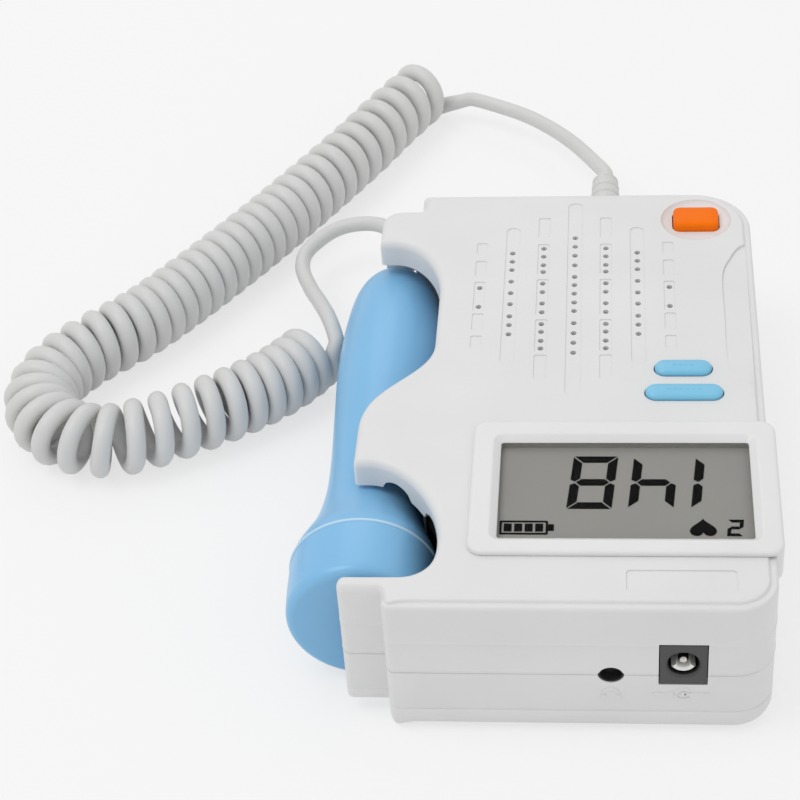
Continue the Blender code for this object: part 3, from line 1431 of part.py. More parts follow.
def build_crystals(parts, cutters, inner_face):
    """Two half discs, one that sends and one that listens, in front of their backing."""
    face = inner_face + GAP
    back = face + CRYSTAL_THICKNESS
    for name, side in (("transmit_crystal", 1), ("receive_crystal", -1)):
        disc = cylinder(
            name, CRYSTAL_RADIUS, (PROBE_X, face, PROBE_Z), (PROBE_X, back, PROBE_Z), parts
        )
        reach = CRYSTAL_RADIUS + OVERRUN
        low_z, high_z = sorted((PROBE_Z + side * CRYSTAL_SPLIT / 2, PROBE_Z - side * reach))
        half = box(
            name + "_half",
            (PROBE_X - reach, face - OVERRUN, low_z),
            (PROBE_X + reach, back + OVERRUN, high_z),
            cutters,
        )
        cut(disc, half)
        settle(disc)
        paint(disc, CREAM, 0.4)
    backing = cylinder(
        "crystal_backing",
        HEAD_RADIUS - PROBE_WALL - GAP,
        (PROBE_X, back + GAP + FACE_WALL, PROBE_Z),
        (PROBE_X, back + GAP + FACE_WALL + BACKING_THICKNESS, PROBE_Z),
        parts,
    )
    paint(backing, DARK_GREY, 0.7)


def build_relief(parts, tail_inner):
    """Ribbed strain relief in the probe's tail."""
    start = TAIL_Y + GAP
    inside = tail_inner - GAP
    profile = [(0, start + RELIEF_LENGTH)]
    profile += [
        (radius, start + height)
        for radius, height in ribbed(RELIEF_LENGTH, RELIEF_BASE_RADIUS, RELIEF_TIP_RADIUS, RELIEF_RIBS)
    ]
    profile += [
        (RELIEF_NECK_RADIUS, start),
        (RELIEF_NECK_RADIUS, inside),
        (RELIEF_FLANGE_RADIUS, inside),
        (RELIEF_FLANGE_RADIUS, inside - RELIEF_FLANGE),
        (0, inside - RELIEF_FLANGE),
    ]
    relief = turned(
        "probe_strain_relief", profile, (PROBE_X, 0, PROBE_Z), parts, along="Y", facets=FACETS // 2
    )
    paint(relief, CORD_GREY, 0.6)


def from_far_wall(points):
    """Route points given from the probe's axis in X and the far wall in Y, as places of the model."""
    places = np.array(points)
    places[:, 0] += PROBE_X
    places[:, 1] += HALF_LENGTH
    return places


def smooth_path(points, count):
    """Even points along a Catmull-Rom curve through the given ones, and its length."""
    route = np.array(points, dtype=float)
    route = np.vstack([2 * route[0] - route[1], route, 2 * route[-1] - route[-2]])
    dense = []
    for before, a, b, after in zip(route, route[1:], route[2:], route[3:]):
        for t in np.linspace(0, 1, 24, endpoint=False):
            bend = 2 * before - 5 * a + 4 * b - after
            swing = 3 * a - before - 3 * b + after
            dense.append((2 * a + (b - before) * t + bend * t**2 + swing * t**3) / 2)
    dense.append(route[-2])
    dense = np.array(dense)
    travelled = np.concatenate([[0], np.cumsum(np.linalg.norm(np.diff(dense, axis=0), axis=1))])
    wanted = np.linspace(0, travelled[-1], count)
    even = np.stack([np.interp(wanted, travelled, dense[:, k]) for k in range(dense.shape[1])], axis=1)
    return even, travelled[-1]


def lead_points(route, first_run, last_run):
    """Lead between two straight runs: the ends of the runs are given, the route lies between them."""
    middle = [first_run[1], *route, last_run[0]]
    length = smooth_path(middle, 2)[1]
    count = max(3, round(length / (CORD_DIAMETER * LEAD_STEP_SHARE)) + 1)
    even = smooth_path(middle, count)[0]
    return np.vstack([first_run[0], even, last_run[1]])


def coil_points():
    """Centre line of the coil: a left-handed helix about the axis route, with a curved run at each end."""
    dense, length = smooth_path(from_far_wall(COIL_AXIS), 2000)
    travelled = np.linspace(0, length, len(dense))
    shares = [share for share, _ in COIL_PITCH_SHARES]
    pitches = [CORD_DIAMETER * pitch for _, pitch in COIL_PITCH_SHARES]
    pitch = np.interp(travelled / length, shares, pitches)
    turns = np.concatenate([[0], np.cumsum(np.diff(travelled) / pitch[1:])])
    part_turn = (COIL_END_TURN_SHARE - COIL_START_TURN_SHARE) % 1
    whole = round(turns[-1] - part_turn) + part_turn
    turns *= whole / turns[-1]
    count = round(whole * CURL_POINTS) + 1
    wanted = np.linspace(0, whole, count)
    at = np.interp(wanted, turns, travelled)
    heading = np.gradient(dense, axis=0)
    heading /= np.linalg.norm(heading, axis=1)[:, None]
    centre = np.stack([np.interp(at, travelled, dense[:, k]) for k in (0, 1)], axis=1)
    forward = np.stack([np.interp(at, travelled, heading[:, k]) for k in (0, 1)], axis=1)
    right = np.stack([forward[:, 1], -forward[:, 0]], axis=1)
    angle = 2 * np.pi * (COIL_START_TURN_SHARE + wanted)
    flat = centre + COIL_RADIUS * np.cos(angle)[:, None] * right
    helix = np.column_stack([flat, COIL_Z + COIL_RADIUS * np.sin(angle)])
    entry = bend_between(from_far_wall(COIL_ENTRY), helix[:2])
    leave = bend_between(from_far_wall(COIL_EXIT)[::-1], helix[:-3:-1])[::-1]
    return np.vstack([entry, helix, leave]), whole


def bend_between(run, helix_end):
    """Straight run, then a curve that reaches the helix along its own heading. The helix end itself is left out."""
    start, corner = np.array(run[0]), np.array(run[1])
    goal = np.array(helix_end[0])
    span = np.linalg.norm(goal - corner)
    leave = (corner - start) / np.linalg.norm(corner - start) * span
    arrive = (np.array(helix_end[1]) - goal) / np.linalg.norm(helix_end[1] - goal) * span
    points = [start, corner]
    for t in (1 / 3, 2 / 3):
        h = (2 * t**3 - 3 * t**2 + 1, t**3 - 2 * t**2 + t, 3 * t**2 - 2 * t**3, t**3 - t**2)
        points.append(h[0] * corner + h[1] * leave + h[2] * goal + h[3] * arrive)
    return np.array(points)


def least_gap(points):
    """Least gap between stretches of the cord that are over half a turn apart along it."""
    skip = CURL_POINTS // 2
    least = math.inf
    for index in range(len(points) - skip - 1):
        others = points[index + skip :]
        starts, ends = others[:-1], others[1:]
        run = ends - starts
        share = np.einsum("ij,ij->i", points[index] - starts, run) / np.einsum("ij,ij->i", run, run)
        nearest = starts + np.clip(share, 0, 1)[:, None] * run
        least = min(least, np.linalg.norm(nearest - points[index], axis=1).min())
    return least - CORD_DIAMETER


def gap_run(end, towards):
    """Straight run that starts one gap past a face and is one cord diameter long, from far to near."""
    end, towards = np.array(end), np.array(towards)
    step = (towards - end) / np.linalg.norm(towards - end)
    near = end - step * GAP
    return np.array([near - step * CORD_DIAMETER, near])


def build_cord(parts):
    """Lead from the gland, the coil, and the lead to the probe's strain relief."""
    gland_end = HALF_LENGTH + GAP + GLAND_LENGTH
    leave = np.array([(GLAND_X, gland_end + GAP, SEAM_Z), (GLAND_X, gland_end + GAP + CORD_DIAMETER, SEAM_Z)])
    unit = lead_points(from_far_wall(UNIT_LEAD_ROUTE), leave, gap_run(*from_far_wall(COIL_ENTRY)))
    tail = TAIL_Y + GAP + RELIEF_LENGTH + GAP
    arrive = np.array([(PROBE_X, tail + CORD_DIAMETER, PROBE_Z), (PROBE_X, tail, PROBE_Z)])
    probe = lead_points(from_far_wall(PROBE_LEAD_ROUTE), gap_run(*from_far_wall(COIL_EXIT)[::-1])[::-1], arrive)
    coil, turns = coil_points()
    print(f"coil: {turns:.2f} turns, least gap to itself {least_gap(coil) * 1000:.2f} mm")
    paint(tube("cord_lead_unit", unit, parts, 2), CORD_GREY, 0.6)
    paint(tube("cord_coil", coil, parts, 1), CORD_GREY, 0.6)
    paint(tube("cord_lead_probe", probe, parts, 2), CORD_GREY, 0.6)
    total = sum(np.linalg.norm(np.diff(p, axis=0), axis=1).sum() for p in (unit, coil, probe))
    print(f"cord: {total:.3f} m in all")


def place_all(parts, cutters):
    """Hang everything on the case's empty, and each moving piece on an empty on its joint's axis."""
    origin = bpy.data.objects.new("case_origin", None)
    parts.objects.link(origin)
    origin.location = (CASE_X, 0, 0)
    pivots = {"probe_slide": (PROBE_X, 0, PROBE_Z)}
    for name, _, (x, y) in key_outlines():
        pivots[name + "_slide"] = (x, y, KEY_TOP)
    pivots["battery_door_slide"] = (BAY_X, HALF_LENGTH - BOTTOM_ROUND, CASE_BOTTOM)
    empties = {}
    for name, spot in pivots.items():
        empty = bpy.data.objects.new(name, None)
        parts.objects.link(empty)
        empty.parent = origin
        empty.location = spot
        empties[name] = empty
    on_probe = {
        "probe_head_cap", "probe_handle", "transmit_crystal", "receive_crystal", "crystal_backing",
        "probe_board", "probe_strain_relief", "cord_lead_probe", "cord_coil",
    }
    for obj in [*parts.objects, *cutters.objects]:
        if obj.type == "EMPTY":
            continue
        name = "probe_slide" if obj.name in on_probe else obj.name + "_slide"
        carrier = empties.get(name)
        obj.parent = carrier or origin
        if carrier:
            obj.location -= carrier.location


def build():
    clear_scene()
    parts = new_collection("fetal_doppler")
    cutters = new_collection("cutters")
    build_top_shell(parts, cutters)
    build_bottom_shell(parts, cutters)
    build_display(parts, cutters)
    build_keys(parts, cutters)
    build_key_board(parts, cutters)
    build_main_board(parts, cutters)
    build_sockets(parts, cutters)
    build_speaker(parts)
    build_battery(parts, cutters)
    build_battery_door(parts, cutters)
    build_screws(parts)
    build_feet(parts)
    build_gland(parts)
    build_probe(parts, cutters)
    build_cord(parts)
    place_all(parts, cutters)


build()
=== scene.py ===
"""Fetal doppler: a desk unit with a display, keys and a speaker grille, and its ultrasound probe parked in
the dock along the left side on a curly cord. Pieces are worked out in millimetres from the middle of the
case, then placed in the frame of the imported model."""

import math

import bmesh
import bpy
import numpy as np
from mathutils import Matrix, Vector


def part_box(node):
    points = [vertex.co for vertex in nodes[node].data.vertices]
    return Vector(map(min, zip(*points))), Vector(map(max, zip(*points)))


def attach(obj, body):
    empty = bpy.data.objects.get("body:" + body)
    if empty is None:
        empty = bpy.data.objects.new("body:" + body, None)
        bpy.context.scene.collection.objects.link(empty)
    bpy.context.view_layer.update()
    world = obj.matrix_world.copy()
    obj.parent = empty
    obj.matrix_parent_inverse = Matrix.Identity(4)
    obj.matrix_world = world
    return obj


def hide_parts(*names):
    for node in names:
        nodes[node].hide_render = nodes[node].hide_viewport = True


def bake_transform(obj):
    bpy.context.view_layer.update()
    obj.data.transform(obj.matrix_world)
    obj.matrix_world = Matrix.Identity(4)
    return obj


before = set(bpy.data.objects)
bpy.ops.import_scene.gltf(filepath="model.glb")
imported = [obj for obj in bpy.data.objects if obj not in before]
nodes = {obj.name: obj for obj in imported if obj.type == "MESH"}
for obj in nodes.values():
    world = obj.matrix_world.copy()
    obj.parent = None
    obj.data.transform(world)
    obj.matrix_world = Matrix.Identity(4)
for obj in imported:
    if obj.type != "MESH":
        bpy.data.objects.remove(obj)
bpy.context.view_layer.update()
scene = bpy.context.scene
scene.view_settings.view_transform = "Standard"

# Camera
# Stands in front of the near wall and a little above, turned 7 degrees and tipped 40 degrees down, and
# holds the view with a long lens of 101 mm on a 36 mm sensor.
CASE_X = 10.1
TURN, TIP, LEAN = np.radians((-6.9577, 39.8715, -4.5369))
ahead = np.array([math.sin(TURN) * math.cos(TIP), math.cos(TURN) * math.cos(TIP), -math.sin(TIP)])
level = np.array([math.cos(TURN), -math.sin(TURN), 0])
above = np.cross(level, ahead)
rightward = math.cos(LEAN) * level + math.sin(LEAN) * above
upward = math.cos(LEAN) * above - math.sin(LEAN) * level
lens = bpy.data.cameras.new("photo_camera")
lens.sensor_width = 36
lens.lens = 101.273
lens.clip_start = 0.01
lens.clip_end = 20
camera = bpy.data.objects.new("photo_camera", lens)
scene.collection.objects.link(camera)
turned = Matrix([[*row] for row in np.stack([rightward, upward, -ahead], axis=1)]).to_4x4()
camera.matrix_world = Matrix.Translation((0.001 * (5.8186 + CASE_X), -0.3655636, 0.3364293)) @ turned
scene.camera = camera

# Floor and light
# A pale seamless floor under an even white sky, with one broad soft lamp over the left shoulder, one beyond
# the object for the sheen along the probe, and a weak one from the right. The colours come out about as
# they are written.


def linear(colour):
    """Hex sRGB colour as linear light: a channel is divided by 12.92 when dark, else raised to the power
    2.4."""
    channel = np.array([int(colour[i : i + 2], 16) / 255 for i in (1, 3, 5)])
    dark, light = channel / 12.92, ((channel + 0.055) / 1.055) ** 2.4
    return (*np.where(channel <= 0.04045, dark, light), 1.0)


def add_node(tree, kind, inputs=None, **settings):
    """Add one node: settings are its own properties, inputs are socket values or the outputs that feed
    them."""
    node = tree.nodes.new("ShaderNode" + kind)
    for name, value in settings.items():
        setattr(node, name, value)
    for name, value in (inputs or {}).items():
        if isinstance(value, bpy.types.NodeSocket):
            tree.links.new(value, node.inputs[name])
        else:
            node.inputs[name].default_value = value
    return node


def new_material(name, colour, roughness, metallic=0.0, gloss=0.5):
    """Material, its node tree and its Principled shader with the uniform values set."""
    material = bpy.data.materials.new(name)
    material.use_nodes = True
    material.diffuse_color = linear(colour)
    shader = material.node_tree.nodes["Principled BSDF"]
    shader.inputs["Base Color"].default_value = linear(colour)
    shader.inputs["Roughness"].default_value = roughness
    shader.inputs["Metallic"].default_value = metallic
    shader.inputs["Specular IOR Level"].default_value = gloss
    return material, material.node_tree, shader


floor_mesh = bpy.data.meshes.new("studio_floor")
floor_mesh.from_pydata([(-6, -6, 0), (6, -6, 0), (6, 6, 0), (-6, 6, 0)], [], [(0, 1, 2, 3)])
floor = bpy.data.objects.new("studio_floor", floor_mesh)
scene.collection.objects.link(floor)
seamless_paper, tree, shader = new_material("seamless_paper", "#F4F4F4", 1.0, gloss=0.0)
# What the camera, gloss and glass see of the floor is mostly its own plain white, which keeps the shadows
# faint
rays = add_node(tree, "LightPath").outputs
seen = rays["Is Camera Ray"]
for ray in ("Is Glossy Ray", "Is Transmission Ray"):
    seen = add_node(tree, "Math", {0: seen, 1: rays[ray]}, operation="MAXIMUM").outputs["Value"]
share = add_node(tree, "Math", {0: seen, 1: 0.7}, operation="MULTIPLY").outputs["Value"]
white = add_node(tree, "Emission", {"Color": linear("#F9F9F9"), "Strength": 1.0})
ways = {0: share, 1: shader.outputs["BSDF"], 2: white.outputs["Emission"]}
blend = add_node(tree, "MixShader", ways)
tree.links.new(blend.outputs["Shader"], tree.nodes["Material Output"].inputs["Surface"])
floor_mesh.materials.append(seamless_paper)

world = bpy.data.worlds.new("even_sky")
scene.world = world
world.use_nodes = True
sky = world.node_tree.nodes["Background"].inputs
sky["Color"].default_value = linear("#FFFFFF")
sky["Strength"].default_value = 0.66
for name, place, size, power in (
    ("left_softbox", (-0.7, -0.2, 1.4), 0.9, 6.8),
    ("far_softbox", (-0.25, 1.1, 1.05), 0.8, 1.6),
    ("right_fill", (0.95, -0.6, 0.9), 0.8, 1.2),
):
    lamp = bpy.data.lights.new(name, "AREA")
    lamp.size = size
    lamp.energy = power
    holder = bpy.data.objects.new(name, lamp)
    scene.collection.objects.link(holder)
    holder.location = place
    holder.rotation_euler = (-holder.location).to_track_quat("-Z", "Y").to_euler()

# Cord
# One length of cable in a soft grey PVC jacket: a lead from the unit, 46 left-handed turns wound on a rod
# and set with heat, and a lead up to the probe. The turns lie closest in the coil's bend and at its probe
# end, and widest at its unit end and past the bend.
LEAD_RADIUS, TURN_RADIUS = 1.85, 2.2
COIL_Z = 8.5
COIL_RADIUS = COIL_Z - TURN_RADIUS
COIL_AXIS = (
    (-43.5, 156.5), (-52.3, 140.8), (-62.0, 122.0), (-82.6, 87.0), (-103.5, 56.3), (-117.2, 42.0),
    (-123.4, 32.9), (-125.0, 24.3), (-122.0, 16.7), (-115.6, 11.6), (-107.0, 10.0), (-98.0, 12.9),
    (-87.2, 18.8), (-78.0, 24.8), (-69.8, 31.8), (-62.9, 40.5),
)
# Distance from turn to turn in millimetres, at shares of the coil's length
COIL_PITCH = (
    (0.0, 6.6), (0.08, 6.5), (0.13, 6.1), (0.19, 5.7), (0.25, 5.3), (0.3, 4.75), (0.42, 4.7), (0.51, 4.3),
    (0.565, 5.5), (0.62, 5.1), (0.68, 4.2), (0.72, 5.2), (0.76, 6.1), (0.85, 6.1), (0.9, 4.9), (0.94, 4.3),
    (1.0, 3.9),
)
# Where in its turn the winding starts and ends, as a share of a turn from the side of the coil up
COIL_TURN_START, COIL_TURN_END = 0.653, 0.055
# Points in each curve that joins a lead to the turns
JOIN_POINTS = 12
UNIT_LEAD = (
    (4.7, 97.4, 16.5), (4.7, 98.6, 16.5), (4.7, 102.3, 16.5), (2.0, 111.0, 14.0), (-3.7, 124.5, 11.0),
    (-10.5, 135.2, 9.2), (-18.0, 142.4, 8.7), (-30.0, 150.2, 8.1), (-33.3, 151.5, 7.2),
)
PROBE_LEAD = (
    (-57.3, 39.6, 13.8), (-58.4, 43.0, 14.7), (-60.2, 48.0, 14.7), (-63.0, 55.5, 12.9), (-66.0, 63.4, 10.7),
    (-69.0, 72.9, 9.5), (-68.4, 79.5, 10.0), (-62.8, 85.5, 11.5), (-56.5, 86.5, 13.0), (-50.0, 83.5, 14.6),
    (-45.0, 76.5, 15.8), (-43.8, 71.3, 16.0), (-43.8, 67.6, 16.0), (-43.8, 66.4, 16.0),
)


def smooth_path(points, spacing):
    """Catmull-Rom curve: each span is the cubic through its two ends whose end slopes are half the step
    between their neighbours. The points come out evenly spaced along it, with the curve's length."""
    route = np.array(points, float)
    route = np.vstack([2 * route[0] - route[1], route, 2 * route[-1] - route[-2]])
    before, a, b, after = (route[k : len(route) - 3 + k, None, :] for k in range(4))
    t = np.linspace(0, 1, 24, endpoint=False)[None, :, None]
    bend, swing = 2 * before - 5 * a + 4 * b - after, 3 * a - before - 3 * b + after
    dense = (2 * a + (b - before) * t + bend * t**2 + swing * t**3) / 2
    dense = np.vstack([dense.reshape(-1, route.shape[1]), route[-2]])
    travelled = np.concatenate([[0], np.cumsum(np.linalg.norm(np.diff(dense, axis=0), axis=1))])
    wanted = np.linspace(0, travelled[-1], max(2, round(travelled[-1] / spacing) + 1))
    even = np.stack([np.interp(wanted, travelled, dense[:, k]) for k in range(dense.shape[1])], axis=1)
    return even, travelled[-1]


def hermite(start, leave, end, arrive, count):
    """Curve between two points with given end headings: the cubic whose end slopes are the headings times
    the span."""
    t = np.linspace(0, 1, count)[:, None]
    span = np.linalg.norm(end - start)
    leave, arrive = leave / np.linalg.norm(leave) * span, arrive / np.linalg.norm(arrive) * span
    weights = (2 * t**3 - 3 * t**2 + 1, t**3 - 2 * t**2 + t, 3 * t**2 - 2 * t**3, t**3 - t**2)
    return sum(weight * value for weight, value in zip(weights, (start, leave, end, arrive)))


def skin(rings, loop=False):
    """Points and faces over a stack of rings: neighbours along and across make quads. The end rings are
    closed with a flat face each, or with loop the last ring joins the first."""
    count, around = rings.shape[:2]
    low = np.arange(count if loop else count - 1)[:, None] * around
    high = (low + around) % (count * around)
    i = np.arange(around)[None, :]
    j = (i + 1) % around
    faces = np.stack([low + i, low + j, high + j, high + i], axis=2).reshape(-1, 4).tolist()
    if not loop:
        faces += [list(range(around))[::-1], list(range((count - 1) * around, count * around))]
    return rings.reshape(-1, 3), faces


def new_piece(name, points, faces, crease=35):
    """Mesh object with its place in its points, given in millimetres from the middle of the case. Edges
    steeper than the crease angle stay sharp."""
    mesh = bpy.data.meshes.new(name)
    mesh.from_pydata((np.asarray(points) + (CASE_X, 0, 0)) * 0.001, [], faces)
    mesh.validate()
    mesh.shade_smooth()
    mesh.set_sharp_from_angle(angle=math.radians(crease))
    piece = bpy.data.objects.new(name, mesh)
    scene.collection.objects.link(piece)
    return piece


def moulded(name, colour, roughness, grain=0.6, depth=0.012, mottle=0.02, gloss=0.5):
    """Injection-moulded plastic: a fine eroded grain from the tool, and a very slight cloudiness where it
    cooled. Grain and depth are in millimetres; the real grain is about 0.2 mm and is drawn coarser so that
    it shows."""
    material, tree, shader = new_material(name, colour, roughness, gloss=gloss)
    place = add_node(tree, "TexCoord").outputs["Object"]
    cloud = add_node(tree, "TexNoise", {"Vector": place, "Scale": 1000 / 22, "Detail": 2})
    tint = add_node(tree, "ValToRGB", {"Fac": cloud.outputs["Fac"]})
    base = np.array(linear(colour))
    for element, position, share in zip(tint.color_ramp.elements, (0.3, 0.7), (1 - mottle, 1 + mottle)):
        element.position = position
        element.color = (*np.clip(base[:3] * share, 0, 1), 1)
    tree.links.new(tint.outputs["Color"], shader.inputs["Base Color"])
    speckle = add_node(tree, "TexNoise", {"Vector": place, "Scale": 1000 / grain, "Detail": 3})
    height = speckle.outputs["Fac"]
    relief = add_node(tree, "Bump", {"Height": height, "Distance": 0.001 * depth, "Strength": 1.0})
    tree.links.new(relief.outputs["Normal"], shader.inputs["Normal"])
    spread = {"Value": height, "To Min": roughness - 0.05, "To Max": roughness + 0.05}
    polish = add_node(tree, "MapRange", spread)
    tree.links.new(polish.outputs["Result"], shader.inputs["Roughness"])
    return material


# Extruded PVC: smooth and slightly waxy, a soft broad highlight and hardly any grain
cord_jacket = moulded("extruded_pvc_jacket", "#D6D6D5", 0.42, grain=1.2, depth=0.006)

axis_line, axis_length = smooth_path(COIL_AXIS, 0.15)
travelled = np.linspace(0, axis_length, len(axis_line))
# Turns wound at each point of the axis: the sum of the steps along it, each divided by the pitch there. They
# are stretched a little so that the last one ends where it should
pitch = np.interp(travelled / axis_length, *np.array(COIL_PITCH).T)
turns = np.concatenate([[0], np.cumsum(np.diff(travelled) / pitch[1:])])
part_turn = (COIL_TURN_END - COIL_TURN_START) % 1
whole = round(turns[-1] - part_turn) + part_turn
wanted = np.linspace(0, whole, round(whole * 24) + 1)
at = np.interp(wanted, turns * whole / turns[-1], travelled)
heading = np.gradient(axis_line, axis=0)
heading /= np.linalg.norm(heading, axis=1)[:, None]
centre = np.stack([np.interp(at, travelled, axis_line[:, k]) for k in (0, 1)], axis=1)
forward = np.stack([np.interp(at, travelled, heading[:, k]) for k in (0, 1)], axis=1)
angle = 2 * np.pi * (COIL_TURN_START + wanted)
sideways = np.stack([forward[:, 1], -forward[:, 0]], axis=1)
outward = np.column_stack([np.cos(angle)[:, None] * sideways, np.sin(angle)])
helix = np.column_stack([centre, np.full(len(centre), COIL_Z)]) + COIL_RADIUS * outward
unit_lead, _ = smooth_path(UNIT_LEAD, 1.2)
probe_lead, _ = smooth_path(PROBE_LEAD, 1.2)
unit_end, probe_start = unit_lead[-1] - unit_lead[-2], probe_lead[1] - probe_lead[0]
entry = hermite(unit_lead[-1], unit_end, helix[0], helix[1] - helix[0], JOIN_POINTS)
leaving = hermite(helix[-1], helix[-1] - helix[-2], probe_lead[0], probe_start, JOIN_POINTS)
cord_path = np.vstack([unit_lead[:-1], entry[:-1], helix, leaving[1:-1], probe_lead])
# The rings of the tube keep one direction: up on the leads, towards the coil's axis on the turns, eased
# between
up = np.array([0.0, 0.0, 1.0])
share = np.linspace(0, 1, JOIN_POINTS)[:, None]
lean = np.vstack(
    [
        np.tile(up, (len(unit_lead) - 1, 1)),
        ((1 - share) * up - share * outward[0])[:-1],
        -outward,
        (share * up - (1 - share) * outward[-1])[1:-1],
        np.tile(up, (len(probe_lead), 1)),
    ]
)


def tube(path, lean, radius, sides):
    """Round tube: at each path point a ring of its own radius, square to the path, turned so that it starts
    at lean."""
    along = np.gradient(path, axis=0)
    along /= np.linalg.norm(along, axis=1)[:, None]
    first = lean - np.einsum("ij,ij->i", lean, along)[:, None] * along
    first /= np.linalg.norm(first, axis=1)[:, None]
    second = np.cross(along, first)
    angle = np.linspace(0, 2 * np.pi, sides, endpoint=False)[None, :, None]
    spokes = np.cos(angle) * first[:, None, :] + np.sin(angle) * second[:, None, :]
    return path[:, None, :] + radius[:, None, None] * spokes


# The turns are drawn thicker than the leads, and the radius is eased where they meet
lead_end, lead_start = len(unit_lead) - 1, len(cord_path) - len(probe_lead)
thickens = (lead_end, lead_end + JOIN_POINTS - 1, lead_start - 30, lead_start - JOIN_POINTS + 2)
thickness = (LEAD_RADIUS, TURN_RADIUS, TURN_RADIUS, LEAD_RADIUS)
wire_radius = np.interp(np.arange(len(cord_path)), thickens, thickness)
curly_cord = new_piece("curly_cord", *skin(tube(cord_path, lean, wire_radius, 16)))
curly_cord.data.materials.append(cord_jacket)
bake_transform(curly_cord)
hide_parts("cord_lead_unit", "cord_coil", "cord_lead_probe")

# Cord outlet and probe strain relief
# Soft PVC sleeves moulded over the cord, with rings cut nearly through so that they bend in an even curve.
# The outlet is trapped between the two case halves, the smaller one in the probe's tail.


def lathe(profile, middle, axis="Y", sides=48):
    """Rings turned about an axis through the middle: each (radius, height) pair of the profile becomes one
    circle."""
    radius, height = np.array(profile, float).T[:, :, None]
    angle = np.linspace(0, 2 * np.pi, sides, endpoint=False)[None, :]
    flat = (radius * np.cos(angle), radius * np.sin(angle))
    rise = np.broadcast_to(height, flat[0].shape)
    rings = np.stack([flat[0], rise, -flat[1]] if axis == "Y" else [flat[0], flat[1], rise], axis=2)
    return rings + np.array(middle, float)


def finish(piece, material, body, slot, *replaced):
    """Give a piece its material, the body it moves with and the solids it stands for, which are hidden. The
    slot, its finish in the record, is not used."""
    piece.data.materials.clear()
    piece.data.materials.append(material)
    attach(piece, body)
    if replaced:
        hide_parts(*replaced)


def finished_piece(name, rings, material, body, slot, *replaced, loop=False):
    """Finished piece made from its rings alone."""
    piece = new_piece(name, *skin(rings, loop))
    finish(piece, material, body, slot, *replaced)
    return piece


def ribbed_sleeve(start, length, base, tip, ribs):
    """Tapering sleeve of soft rings: on a straight taper, the radius swells between two grooves by half a
    sine to the power 0.35, which keeps the grooves narrow."""
    share = np.linspace(0, 1, ribs * 12 + 1)
    swell = np.abs(np.sin(np.pi * share * ribs)) ** 0.35
    radius = base + (tip - base) * share - 0.55 * (1 - swell)
    return [(r, start + length * s) for r, s in zip(radius, share)]


OUTLET_MIDDLE = (4.7, 0, 16.5)
PROBE_MIDDLE = (-43.8, 0, 16.0)
outlet_profile = [(0.5, 63.7), (5.2, 63.7), (5.5, 64.0), (5.5, 64.9), (5.2, 65.2), (3.2, 65.2), (3.2, 67.7)]
outlet_profile += [(4.2, 67.75), *ribbed_sleeve(68.4, 28.6, 4.5, 3.3, 9)]
outlet_profile += [(3.2, 97.9), (2.9, 98.25), (0.5, 98.3)]
outlet_rings = lathe(outlet_profile, OUTLET_MIDDLE)
cord_outlet = finished_piece("cord_outlet", outlet_rings, cord_jacket, "unit", "cord_jacket", "cord_gland")
relief_profile = [(0.5, 52.7), (3.9, 52.7), (3.9, 54.7), (2.6, 54.7), (2.6, 57.2)]
relief_profile += [(3.4, 57.35), *ribbed_sleeve(57.8, 8.6, 3.7, 2.75, 4)]
relief_profile += [(2.6, 67.0), (2.3, 67.25), (0.5, 67.3)]
relief_rings = lathe(relief_profile, PROBE_MIDDLE)
probe_relief = finished_piece(
    "probe_relief", relief_rings, cord_jacket, "probe", "cord_jacket", "probe_strain_relief"
)

# Upper case half
# Moulded ABS with a fine matt grain. The deck covers half of the probe, scooped away for thumb and head,
# with an ear over the probe's tail and a guard before its face. A fine double step runs round the top edge.
case_plastic = moulded("moulded_abs_light_grey", "#E3E3E3", 0.42)


def arc(x, y, radius, first, last, steps=10):
    """Points of an arc about (x, y): the middle plus the radius along the cosine and sine of each angle."""
    angle = np.radians(np.linspace(first, last, steps + 1))
    return np.stack([x + radius * np.cos(angle), y + radius * np.sin(angle)], axis=1)


def bezier(a, b, c, d, steps=22):
    """Cubic curve from a to d that sets out towards b and arrives from c."""
    t = np.linspace(0, 1, steps + 1)[:, None]
    a, b, c, d = (np.array(point, float) for point in (a, b, c, d))
    return (1 - t) ** 3 * a + 3 * t * (1 - t) ** 2 * b + 3 * t**2 * (1 - t) * c + t**3 * d


def straight(a, b, step=2.5):
    """Evenly spaced points between two ends, the ends left out."""
    count = max(1, round(math.dist(a, b) / step))
    t = np.linspace(0, 1, count + 1)[1:-1, None]
    return (1 - t) * np.array(a, float) + t * np.array(b, float)


# Edge of the scoop over the probe's head, from the bridge round to the guard
HEAD_SCOOP = bezier((-43.0, -26.6), (-36.7, -26.6), (-27.8, -37.0), (-27.8, -49.5), 30)


def plain(points):
    """Outline rows for an ordinary stretch: places only, with no corner data."""
    return np.hstack([points, np.zeros((len(points), 7))])


def corner(x, y, radius, first, steps=6):
    """Outline rows for a tight right-angled corner with its vertex at (x, y): places, directions from the
    arc's middle, vertex, inward diagonal and radius."""
    angle = np.radians(np.linspace(first, first + 90, steps + 1))
    away = np.stack([np.cos(angle), np.sin(angle)], axis=1)
    vertex = np.tile((x, y), (len(away), 1))
    diagonal = np.tile(-np.round(away[0] + away[-1]), (len(away), 1))
    radii = np.full((len(away), 1), radius)
    return np.hstack([vertex + radius * (diagonal + away), away, vertex, diagonal, radii])


